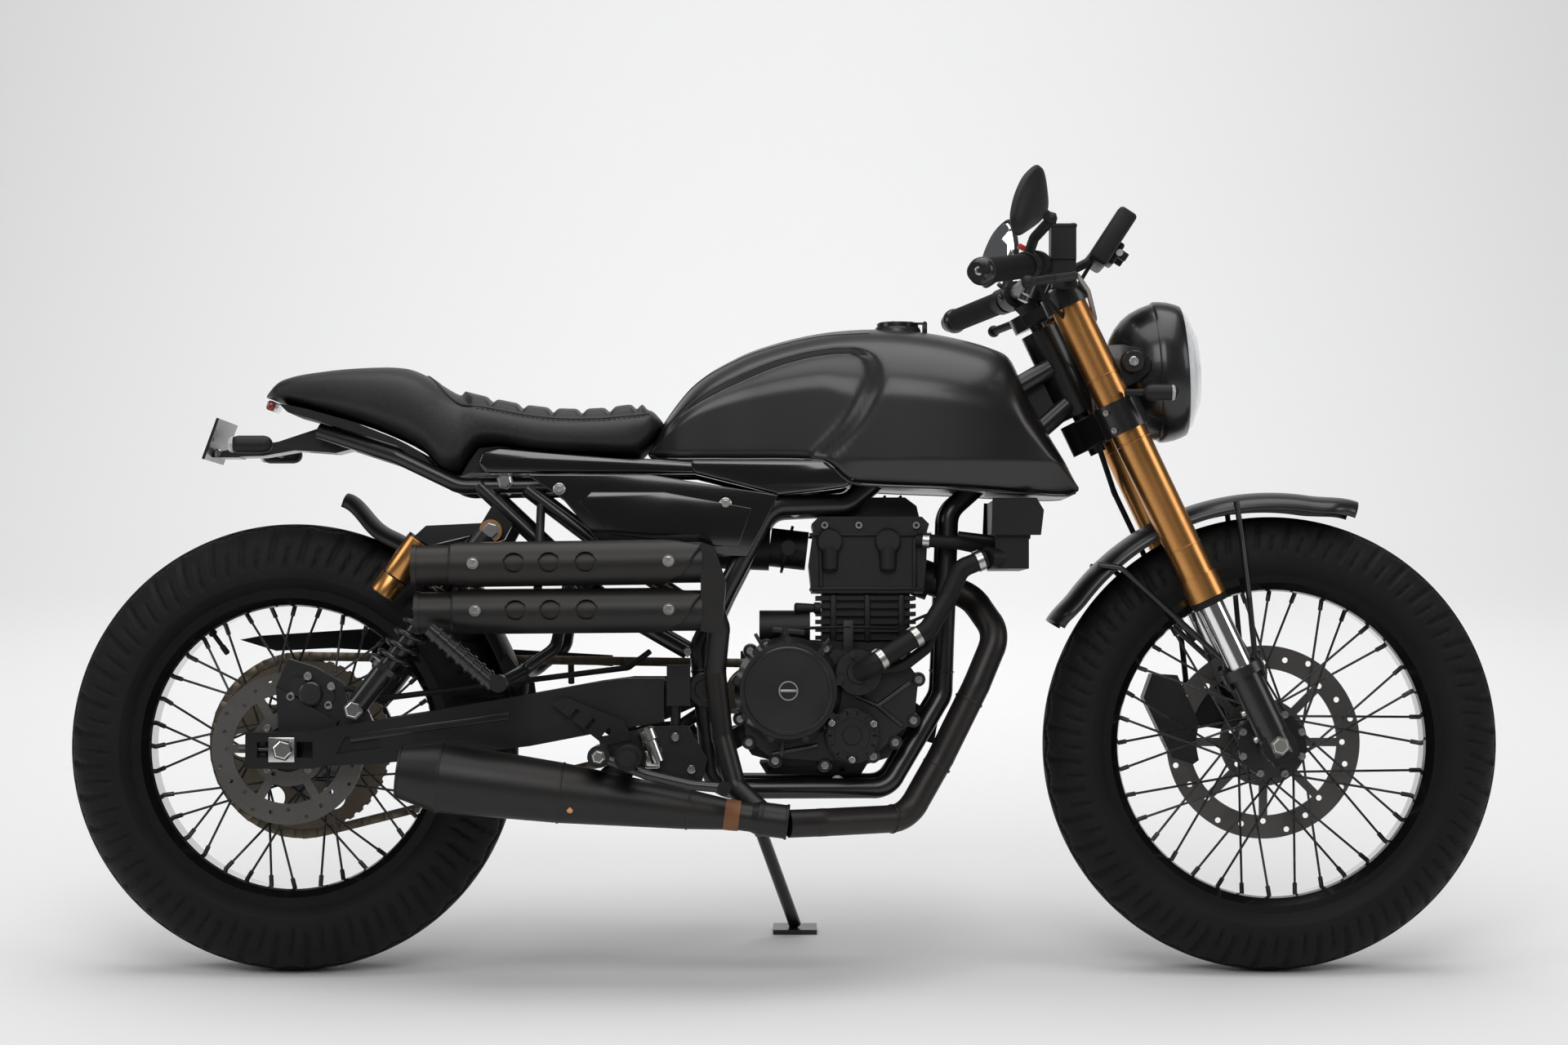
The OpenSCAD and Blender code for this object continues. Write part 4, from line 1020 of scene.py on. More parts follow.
@dataclass
class Tank(Assembly):
    """The fuel tank: knee recesses, a tucked lower face, its rim, seams, neck and cap.

    Attributes:
        recess: how deep the knee recesses are, in millimetres.
        crease: the height under which its sides tuck in, in millimetres.
        corner: the radius of its lower edges, in millimetres.
    """

    recess: float = 17.0
    crease: float = 706.0
    corner: float = 14.0

    def __post_init__(self) -> None:
        """Sets out the tank's lines, in millimetres along the machine."""
        self.top = smooth_line([(497, 722), (508, 745), (524, 774), (562, 821), (618, 856), (668, 875),
            (732, 890), (795, 896), (859, 894), (922, 884), (980, 867), (1000, 853), (1018, 812),
            (1052, 749), (1074, 711), (1091, 676)])
        self.bottom = smooth_line([(497, 716), (508, 710), (600, 709), (728, 707), (748, 699), (772, 678),
            (800, 673), (915, 668), (1034, 661), (1080, 661), (1091, 668)])
        self.width = smooth_line([(497, 84), (540, 103), (640, 112), (760, 125), (860, 138), (960, 136),
            (1030, 119), (1091, 88)])
        self.recess_front = smooth_line([(690, 722), (720, 751), (754, 786), (795, 811), (827, 821),
            (852, 812), (868, 790)])
        self.recess_top = smooth_line([(497, 724), (522, 757), (564, 796), (647, 838), (708, 858),
            (770, 866), (808, 858), (824, 836)])

    def hollow(self, x: float, z: float) -> float:
        """How deep the knee recess is at a place on the side, in millimetres."""
        back = step(-4, 30, self.recess_front(z) - x)
        under = step(-2, 12, self.recess_top(x) - z)
        return self.recess * back * under * (0.35 + 0.65 * step(500, 640, x))

    def point(self, u: float, v: float) -> Vector:
        """A point of the tank's skin: u goes round it, v along it."""
        x = 794 - 297 * math.cos(math.pi * v)
        top, bottom, wide = self.top(x), self.bottom(x), self.width(x)
        widest = top - 0.47 * (top - bottom)
        turn = 2 * math.pi * u
        side, s = math.copysign(1, math.cos(turn)), math.sin(turn)
        if s >= 0:
            y, z = wide * abs(math.cos(turn)), widest + (top - widest) * s
        else:
            y, z = self.lower(min(1.0, 2 * math.asin(min(1.0, -s)) / math.pi), wide, widest, bottom)
        if x > 740:
            y -= max(0.0, self.crease - z) * 0.5 * step(740, 800, x) * step(0.0, 0.3, y / wide)
        y -= self.hollow(x, z) * step(0.25, 0.75, y / wide)
        return mm(x, side * y, z)

    def lower(self, t: float, wide: float, widest: float, bottom: float) -> tuple[float, float]:
        """The lower half of the section.

        Args:
            t: the place from the widest line at 0 to the middle of the floor at 1.
            wide: the half width.
            widest: the widest line's height.
            bottom: the floor's height.

        Returns:
            The half width and the height there.
        """
        bend = min(self.corner, (widest - bottom) * 0.8)
        if t < 0.6:
            return wide, widest - (widest - bottom - bend) * t / 0.6
        if t < 0.8:
            angle = (t - 0.6) / 0.2 * math.pi / 2
            return wide - bend * (1 - math.cos(angle)), bottom + bend * (1 - math.sin(angle))
        return (wide - bend) * (1 - (t - 0.8) / 0.2), bottom

    def build(self) -> None:
        """Models the tank and its trim."""
        skin = Bench.grid("tank_skin", 150, 130, self.point, capped=True, sharp=60)
        neck = Bench.lathe("tank_neck", [(0, 0), (0, 0.034), (0.010, 0.032), (0.013, 0.0305),
            (0.013, 0.022), (0.006, 0.021), (0.006, 0)], mm(843, 0, 886), Vector((0, 0, 1)), 64)
        lugs = [Bench.block("lug", mm(881, side * 7, 898), mm(6.4, 3.2, 15), bevel=0.0006)
            for side in (-1, 1)]
        pins = [Bench.lathe("pin", [(0, 0), (0, 0.003), (0.0032, 0.003), (0.0032, 0)],
            mm(881, side * 5.4, 904.6), Vector((0, side, 0)), 16) for side in (-1, 1)]
        tank = Bench.join("tank", [skin, neck, *lugs, *pins])
        self.put(tank, TANK_BLACK, "fuel_tank", "fuel_tank")
        self.rim()
        self.cap()

    def rim(self) -> None:
        """Adds the folded rim under each side and the seams over the top."""
        lines = []
        for side in (-1, 1):
            under = []
            for i in range(61):
                x = 500 + 586 * i / 60
                tuck = max(0.0, self.crease - self.bottom(x) - 8) * 0.5 * step(740, 800, x)
                hollow = self.hollow(x, self.bottom(x) + 8)
                under.append(mm(x, side * (self.width(x) - tuck - hollow - 2.5), self.bottom(x) + 1.5))
            lines.append(Bench.tube("rim", under, 0.0024, sides=2))
            over = []
            for i in range(41):
                x = 512 + 290 * i / 40
                top = self.top(x)
                rise = math.sqrt(1 - 0.4 ** 2)
                widest = top - 0.47 * (top - self.bottom(x))
                over.append(mm(x, side * self.width(x) * 0.4, widest + (top - widest) * rise + 0.2))
            lines.append(Bench.tube("seam", over, 0.0011, sides=2))
        self.fit("tank_rim", lines, GLOSS_BLACK, "fuel_tank")

    def cap(self) -> None:
        """Dresses the cap and adds its raised ring, lock and screws."""
        CATALOGUE.dress("filler_cap", SATIN_BLACK)
        up = Vector((0, 0, 1))
        ring = Bench.lathe("cap_ring", [(0, 0.020), (0, 0.0272), (0.0012, 0.0268), (0.0018, 0.0255),
            (0.0018, 0.021), (0.0006, 0.020), (0, 0.020)], mm(843, 0, 904.4), up, 64)
        CATALOGUE.add(ring, "filler_cap", COVER_BLACK, "filler_cap")
        lock = Bench.lathe("cap_lock", [(0, 0), (0, 0.0085), (0.0016, 0.008), (0.0016, 0)],
            mm(836, 0, 904.4), up, 32)
        screws = [Bench.bolt("screw", mm(843 + 23.4 * math.cos(a), 23.4 * math.sin(a), 905.9), up, 0.0018,
            0.0008) for a in (0.7, 1.9, 3.14, 4.4, 5.6)]
        CATALOGUE.add(Bench.join("cap_lock", [lock, *screws]), "filler_cap", BARE_STEEL, "filler_cap")


@dataclass
class SidePanels(Assembly):
    """The gloss side panels and the strips under the seat and the tank.

    Attributes:
        face: the outer face of the panels from the middle, in millimetres.
    """

    face: float = 124.0

    def build(self) -> None:
        """Models the panels on both sides."""
        panel = [(331, 689), (500, 688), (676, 660), (656, 618), (634, 576), (560, 578), (505, 587),
            (433, 594), (384, 652)]
        relief = [(420, 664), (520, 664), (640, 642), (622, 590), (560, 590), (506, 599), (446, 606),
            (404, 650)]
        strip = [(278, 690), (264, 704), (270, 720), (294, 726), (478, 710), (494, 711), (560, 706),
            (600, 690), (500, 690)]
        nose = [(556, 708), (758, 708), (784, 684), (768, 671), (730, 666), (676, 660), (640, 670),
            (560, 690)]
        plates = []
        for side in (-1, 1):
            plates += [self.plate(panel, side, self.face - 5, self.face, 2.2), self.plate(relief, side,
                self.face - 0.5, self.face + 2.5, 2.2), self.plate(strip, side, 86, 108, 4),
                self.plate(nose, side, 88, 118, 4), self.plate([(560, 640), (600, 640), (600, 660),
                (560, 660)], side, 100, 119, 1)]
        self.fit("panels", plates, GLOSS_BLACK, "side_panels", "side_panels")
        bolts = []
        for side in (-1, 1):
            for x, z in ((377, 668), (604, 648)):
                seat = mm(x, side * self.face, z)
                out = Vector((0, side, 0))
                bolts.append(Bench.lathe("washer", [(0, 0), (0, 0.0085), (0.0016, 0.0085), (0.0024, 0.0075),
                    (0.0024, 0)], seat, out, 24))
                bolts.append(Bench.bolt("bolt", seat + out * 0.002, out, 0.0055, 0.0045))
        self.fit("panel_bolts", bolts, BARE_STEEL, "side_panels")

    def plate(self, outline: Sequence[tuple[float, float]], side: int, inner: float, outer: float,
            bevel: float) -> bpy.types.Object:
        """One flat panel.

        Args:
            outline: its corners along and up the machine, in millimetres.
            side: 1 for the left, -1 for the right.
            inner: where its inner face lies from the middle.
            outer: where its outer face lies.
            bevel: the width of its softened edges.

        Returns:
            The piece.
        """
        corners = [mm(x, side * inner, z) for x, z in outline]
        return Bench.plate("panel", corners, Vector((0, side * (outer - inner) / 1000, 0)), bevel / 1000, 3)


# ---------------------------------------------------------------- engine and exhaust


@dataclass
class Engine(Assembly):
    """The engine's cover lugs, bolts, ribs, caps, sensors and hose clamps.

    Attributes:
        lugs: the bolts round the clutch side's cover, along and up the machine, in millimetres.
    """

    lugs: tuple[tuple[float, float], ...] = ((622, 405), (624, 354), (636, 322), (672, 297), (740, 291),
        (806, 303), (836, 322), (861, 352), (868, 408), (846, 441), (741, 450), (704, 455), (660, 454),
        (638, 447))

    def build(self) -> None:
        """Models everything on both sides of the engine."""
        for node in ("crankcase", "cylinder_head"):
            CATALOGUE.dress(node, ENGINE_BLACK)
        self.cover_lugs()
        self.clutch_cover()
        self.filter_cap()
        self.left_side()
        self.head()
        self.clamps()

    def cover_lugs(self) -> None:
        """Adds the bolt lugs and their bolts round the clutch side's cover."""
        right = Vector((0, -1, 0))
        lugs, bolts = [], []
        for x, z in self.lugs:
            lugs.append(Bench.lathe("lug", [(0, 0), (0, 0.0105), (0.021, 0.0095), (0.0225, 0.008),
                (0.0225, 0)], mm(x, -97, z), right, 24))
            bolts.append(Bench.bolt("bolt", mm(x, -119.4, z), right, 0.0058, 0.006))
        self.fit("cover_lugs", lugs, COVER_BLACK, "engine_covers")
        for x, z in ((777 + 33 * math.cos(a), 332 + 33 * math.sin(a)) for a in (0.5, 2.6, 4.7)):
            bolts.append(Bench.bolt("bolt", mm(x, -146, z), right, 0.0045, 0.003))
        self.fit("cover_bolts", bolts, BARE_STEEL, "engine_covers")

    def clutch_cover(self) -> None:
        """Adds the turned rings, ribs and plain badge disc of the clutch cover."""
        right = Vector((0, -1, 0))
        centre = mm(690, -149, 393)
        rings = [Bench.lathe("ring", [(0, 0), (0, 0.0605), (0.0035, 0.0600), (0.005, 0.0585),
            (0.005, 0.0555), (0.0035, 0.0545), (0.0035, 0)], centre, right, 96)]
        for a in (0.15, 0.9, 2.1, 3.5, 4.6, 5.5):
            turn = Matrix.Rotation(-a, 4, "Y")
            out = Vector((math.cos(a), 0, math.sin(a)))
            rings.append(Bench.block("rib", mm(690, -127, 393) + out * 0.077, mm(26, 14, 5), turn, 0.0015))
        ribs = [((812, 372), (856, 404)), ((812, 372), (846, 345)), ((730, 318), (668, 306)),
            ((812, 372), (782, 386))]
        for (x0, z0), (x1, z1) in ribs:
            start, end = mm(x0, -119, z0), mm(x1, -119, z1)
            rings.append(Bench.tube("rib", [start, end], 0.0035, sides=3))
        self.fit("clutch_rings", rings, COVER_BLACK, "engine_covers")
        badge = Bench.lathe("badge", [(0, 0.0115), (0, 0.0135), (0.0012, 0.0133), (0.0012, 0.0117),
            (0, 0.0115)], mm(690, -152.4, 393), right, 48)
        bar = Bench.block("bar", mm(690, -153, 393), mm(22, 1.2, 3.2), bevel=0.0004)
        self.fit("badge", [badge, bar], SILVER, "engine_covers")

    def filter_cap(self) -> None:
        """Adds the notched oil filter cap and the water pump's cover."""
        right = Vector((0, -1, 0))
        pieces = [Bench.lathe("cap", [(0, 0), (0, 0.038), (0.016, 0.037), (0.019, 0.034), (0.019, 0.024),
            (0.016, 0.022), (0.016, 0.014), (0.021, 0.0125), (0.021, 0)], mm(777, -123, 332), right, 72)]
        for i in range(14):
            a = 2 * math.pi * i / 14
            out = Vector((math.cos(a), 0, math.sin(a)))
            pieces.append(Bench.block("grip", mm(777, -138, 332) + out * 0.0315, mm(10, 8, 5),
                Matrix.Rotation(-a, 4, "Y"), 0.0012))
        pieces.append(Bench.lathe("pump", [(0, 0), (0, 0.033), (0.018, 0.031), (0.021, 0.028),
            (0.021, 0.017), (0.026, 0.0155), (0.026, 0)], mm(786, -118, 418), right, 64))
        self.fit("filter_cap", pieces, ENGINE_BLACK, "engine_covers")

    def left_side(self) -> None:
        """Adds the rings and bolts of the generator's cover and the sprocket's cover."""
        left = Vector((0, 1, 0))
        rings = [Bench.lathe("ring", [(0, 0), (0, 0.057), (0.003, 0.0565), (0.0045, 0.055), (0.0045, 0.046),
            (0.003, 0.045), (0.003, 0)], mm(778, 139.5, 376), left, 80), Bench.lathe("plug", [(0, 0),
            (0, 0.014), (0.004, 0.013), (0.004, 0)], mm(778, 142, 376), left, 24)]
        bolts = []
        for i in range(8):
            a = math.radians(10 + 45 * i)
            bolts.append(Bench.bolt("bolt", mm(778 + 62 * math.cos(a), 139.6, 376 + 62 * math.sin(a)), left,
                0.0052, 0.006))
        for x, z in ((632, 350), (632, 432), (684, 348), (684, 434)):
            bolts.append(Bench.bolt("bolt", mm(x, 104, z), left, 0.0052, 0.006))
        self.fit("generator_rings", rings, COVER_BLACK, "engine_covers")
        self.fit("generator_bolts", bolts, BARE_STEEL, "engine_covers")

    def head(self) -> None:
        """Adds the camshaft ends, gaskets, webs and sensors of the cylinder and its head."""
        pieces = []
        for side in (-1, 1):
            out = Vector((0, side, 0))
            for x in (747, 827):
                pieces.append(Bench.lathe("cam_end", [(0, 0), (0, 0.0185), (0.008, 0.018), (0.0105, 0.0155),
                    (0.0105, 0)], mm(x, side * 78, 598), out, 32))
                pieces.append(Bench.lathe("cam_lug", [(0, 0), (0, 0.0125), (0.028, 0.0115), (0.031, 0.009),
                    (0.031, 0)], mm(x, side * 80, 588), Vector((0, 0, -1)), 24))
            pieces.append(Bench.block("joint", mm(801, side * 77, 607.5), mm(164, 12, 4), bevel=0.0012))
            pieces.append(Bench.block("joint", mm(799, side * 75, 533), mm(158, 10, 5), bevel=0.0012))
            for x in (752, 799, 846):
                pieces.append(Bench.block("web", mm(x, side * 70, 492), mm(9, 8, 66), bevel=0.002))
            for x in (735, 864):
                pieces.append(Bench.block("web", mm(x, side * 78, 568), mm(7, 6, 68), bevel=0.002))
        pieces.append(Bench.lathe("sensor", [(0, 0), (0, 0.008), (0.008, 0.008), (0.009, 0.006),
            (0.034, 0.0075), (0.036, 0.005), (0.036, 0)], mm(734, -70, 506), Vector((-1, -0.1, 0)), 24))
        for i in range(5):
            pieces.append(Bench.tube("rib", [mm(758 + i * 22, -44, 661), mm(758 + i * 22, 44, 661)], 0.002,
                sides=2))
        self.fit("head_details", pieces, ENGINE_BLACK, "cylinder_head")
        bolts = [Bench.bolt("bolt", mm(x, side * 82, 620), Vector((0, side, 0)), 0.0055, 0.0062)
            for side in (-1, 1) for x in (740, 787, 866)]
        lever = Bench.block("lever", mm(690, -104, 474), mm(46, 14, 9), Matrix.Rotation(0.1, 4, "Y"))
        pin = Bench.lathe("pin", [(0, 0), (0, 0.008), (0.028, 0.008), (0.028, 0)], mm(686, -104, 452),
            Vector((0, 0, 1)), 24)
        stay = Bench.block("stay", mm(772, -106, 466), mm(14, 3, 46), bevel=0.001)
        cable = Bench.tube("cable", [mm(706, -104, 478), mm(772, -106, 480), mm(836, -98, 478),
            mm(890, -60, 500)], 0.0022, sides=2)
        self.fit("clutch_arm", [lever, pin, stay], BRONZE_GREY, "engine_covers")
        self.fit("head_bolts", bolts, BARE_STEEL, "cylinder_head")
        self.put(cable, RUBBER, "engine_covers")

    def clamps(self) -> None:
        """Adds the steel clamps round the coolant hoses, and the hose's stub."""
        bands = []
        for start, way, radius in ((mm(812, -154.5, 433.5), Vector((74, 20, 46)), 0.0132),
                (mm(860, -141.5, 463.5), Vector((74, 20, 46)), 0.0132), (mm(948, -109.5, 568.8),
                Vector((35, 4, 14)), 0.0132), (mm(876, -85.5, 599.2), Vector((54, -8, -4)), 0.0092)):
            bands.append(Bench.lathe("clamp", [(0, radius - 0.001), (0, radius + 0.0014),
                (0.009, radius + 0.0014), (0.009, radius - 0.001)], start, way, 32))
            worm = way.normalized().orthogonal().normalized()
            bands.append(Bench.block("worm", start + way.normalized() * 0.0045 + worm * (radius + 0.003),
                mm(9, 9, 7), way.to_track_quat("X", "Z").to_matrix().to_4x4(), 0.001))
        self.fit("hose_clamps", bands, BARE_STEEL, "coolant_hoses")
        second = rounded_path([mm(806, -128, 420), mm(846, -136, 426), mm(880, -122, 452),
            mm(896, -104, 500), mm(905, -96, 540)], 0.02)
        self.put(Bench.tube("bypass_hose", second, 0.008), RUBBER, "coolant_hoses")


@dataclass
class Exhaust(Assembly):
    """The black exhaust: weld seams, heat band, clamp, rivet and shield bolts.

    Attributes:
        inlet: the lower silencer's inlet end.
        outlet: its outlet end.
        cans: the ends of both upper silencers' axes.
        can_radius: the upper silencers' radius, in millimetres.
        shield_hole: the radius of the holes in their heat shields.
        shield_skin: how thick the shields' sheet is, in metres.
    """

    inlet: Vector = field(default_factory=lambda: mm(640, -182, 222.5))
    outlet: Vector = field(default_factory=lambda: mm(163, -182, 284))
    cans: tuple[tuple[Vector, Vector],
        ...] = field(default_factory=lambda: ((mm(182, -182, 562), mm(574, -182, 567)),
        (mm(186, -182, 499), mm(574, -182, 502))))
    can_radius: float = 27.5
    shield_hole: float = 13.5
    shield_skin: float = 0.0016

    def ring(self, name: str, distance: float, radius: float, width: float) -> bpy.types.Object:
        """A ring round the lower silencer.

        Args:
            name: the piece's name.
            distance: its place from the inlet, in millimetres.
            radius: the silencer's radius there.
            width: the ring's width.

        Returns:
            The piece.
        """
        way = (self.outlet - self.inlet).normalized()
        outline = [(0, radius - 1), (0, radius + 0.4), (width * 0.3, radius + 1.1),
            (width * 0.7, radius + 1.1), (width, radius + 0.4), (width, radius - 1)]
        metres = [(a / 1000, b / 1000) for a, b in outline]
        return Bench.lathe(name, metres, self.inlet + way * distance / 1000, way, 64)

    def build(self) -> None:
        """Models the exhaust's trim and its heat shields."""
        seams = [self.ring("seam", 84, 27, 3), self.ring("seam", 258, 41, 3),
            self.ring("seam", 422, 48, 3.5), self.ring("clamp", -50, 23.2, 4),
            self.ring("clamp", -16, 23.2, 4), self.ring("seam", 478, 36, 3)]
        for start, way in ((mm(950, -68, 400), Vector((-50, -10, -100))),
                (mm(905, -77, 310), Vector((-50, -10, -100))),
                (mm(852, -92, 217), Vector((-117, -76, -2)))):
            step_on = way.normalized() * 0.022
            seams.append(Bench.lathe("weld", [(0, 0.0185), (0, 0.0196), (0.001, 0.0203), (0.003, 0.0203),
                (0.004, 0.0196), (0.004, 0.0185)], start + step_on, way, 48))
        self.fit("weld_seams", seams, HEADER_BLACK, "lower_silencer")
        self.put(self.ring("heat_band", 16, 20.2, 34), RUST, "exhaust_header")
        rivet = Bench.lathe("rivet", [(0, 0), (0, 0.0045), (0.0015, 0.004), (0.0022, 0.002), (0.0022, 0)],
            mm(397, -216.4, 234), Vector((0, -0.87, -0.5)), 20)
        self.put(rivet, COPPER, "lower_silencer")
        shields, bolts = [], []
        for start, end in self.cans:
            way = end - start
            for share in (0.215, 0.885):
                seat = start + way * share + Vector((0, -(self.can_radius + 4) / 1000, 0.002))
                bolts.append(Bench.lathe("boss", [(0, 0), (0, 0.0085), (0.002, 0.0078), (0.002, 0)], seat
                    + Vector((0, 0.0016, 0)), Vector((0, -1, 0)), 24))
                bolts.append(Bench.bolt("bolt", seat, Vector((0, -1, 0)), 0.0058, 0.0045))
            shields.append(self.shield(start, end))
        self.fit("shields", shields, CAN_BLACK, "heat_shields", "heat_shields")
        self.fit("shield_bolts", bolts, BARE_STEEL, "heat_shields")
        self.mounts()

    def shield(self, start: Vector, end: Vector) -> bpy.types.Object:
        """A curved heat shield with three holes, over the outer side of one upper silencer.

        Args:
            start: the rear end of the silencer's axis.
            end: its front end.

        Returns:
            The piece.
        """
        way = end - start
        radius = (self.can_radius + 3.2) / 1000

        def shape(u: float, v: float) -> Vector:
            """A point of the shield: round by u, forward by v."""
            taper = step(0.86, 1.0, v)
            half = math.radians(76 - 34 * taper - 18 * step(0.06, 0.0, v))
            angle = math.radians(-180 + 6) + half * (2 * u - 1)
            share = 0.13 + (0.965 - 0.13) * v + 0.035 * (2 * u - 1) * taper
            return start + way * share + Vector((0, radius * math.cos(angle), -radius * math.sin(angle)))

        piece = Bench.grid("shield", 36, 90, shape, sharp=60)
        Bench.thicken(piece, self.shield_skin, 0)
        for share in (0.355, 0.475, 0.60):
            Bench.clear()
            bpy.ops.mesh.primitive_cylinder_add(vertices=40, radius=self.shield_hole / 1000, depth=0.06,
                location=start + way * share + Vector((0, -0.05, 0.002)), rotation=(math.pi / 2, 0, 0))
            cutter = bpy.context.object
            Bench.pick(piece)
            cut = piece.modifiers.new("Hole", "BOOLEAN")
            cut.operation = "DIFFERENCE"
            cut.object = cutter
            cut.solver = "EXACT"
            bpy.ops.object.modifier_apply(modifier=cut.name)
            bpy.data.objects.remove(cutter, do_unlink=True)
        return piece

    def mounts(self) -> None:
        """Adds the lower silencer's hanger."""
        stay = Bench.plate("hanger", [mm(410, -150, 262), mm(440, -150, 290), mm(470, -150, 300),
            mm(486, -150, 290), mm(470, -150, 262)], Vector((0, 0.004, 0)))
        self.put(stay, SATIN_BLACK, "lower_silencer")


# ---------------------------------------------------------------- headlight


@dataclass
class Headlight(Assembly):
    """The headlight: its reflector, bulb, bowl, ears and rim.

    Attributes:
        back: where its axis starts.
        tilt: how far it looks up, in degrees.
    """

    body: str = "steering"
    back: Vector = field(default_factory=lambda: mm(1138, 0, 832))
    tilt: float = 3.7

    def build(self) -> None:
        """Models the headlight's inside and its trim."""
        tilt = math.radians(self.tilt)
        ahead = Vector((math.cos(tilt), 0, math.sin(tilt)))
        mirror = Bench.lathe("reflector", [(0.032, 0), (0.032, 0.012), (0.037, 0.034), (0.044, 0.056),
            (0.056, 0.073), (0.072, 0.0845), (0.101, 0.0872)], self.back, ahead, 80)
        self.put(mirror, REFLECTOR, "headlight")
        bulb = Bench.lathe("bulb", [(0.032, 0), (0.032, 0.009), (0.060, 0.009), (0.066, 0.013),
            (0.080, 0.013), (0.086, 0.008), (0.087, 0)], self.back, ahead, 32)
        self.put(bulb, SILVER, "headlight")
        bowl = [(0.0002, 0), (0.0002, 0.036), (0.004, 0.050), (0.012, 0.064), (0.022, 0.0755),
            (0.034, 0.0845), (0.048, 0.0910), (0.060, 0.0948), (0.0655, 0.0955), (0.0655, 0.0925),
            (0.060, 0.0905), (0.034, 0.080), (0.010, 0.055), (0.004, 0.030), (0.004, 0)]
        shells = [Bench.lathe("headlight_bowl", bowl, self.back, ahead, 128)]
        for side in (-1, 1):
            corners = [mm(x, side * 93, z) for x, z in ((1112, 866), (1150, 868), (1176, 862), (1188, 848),
                (1186, 832), (1172, 818), (1150, 808), (1130, 804))]
            shells.append(Bench.plate("ear", corners, Vector((0, side * 0.006, 0)), 0.0015))
        self.fit("headlight_shell", shells, SATIN_BLACK, "headlight", "headlight")
        rim = Bench.lathe("headlight_rim", [(0.0645, 0.0935), (0.0645, 0.0972), (0.067, 0.0985),
            (0.074, 0.0985), (0.086, 0.0968), (0.096, 0.0938), (0.1035, 0.0905), (0.1045, 0.0890),
            (0.1035, 0.0878), (0.098, 0.0878), (0.090, 0.0900), (0.070, 0.0935), (0.0645, 0.0935)],
            self.back, ahead, 128)
        self.put(rim, SATIN_BLACK, "headlight")


# ---------------------------------------------------------------- front end and cockpit


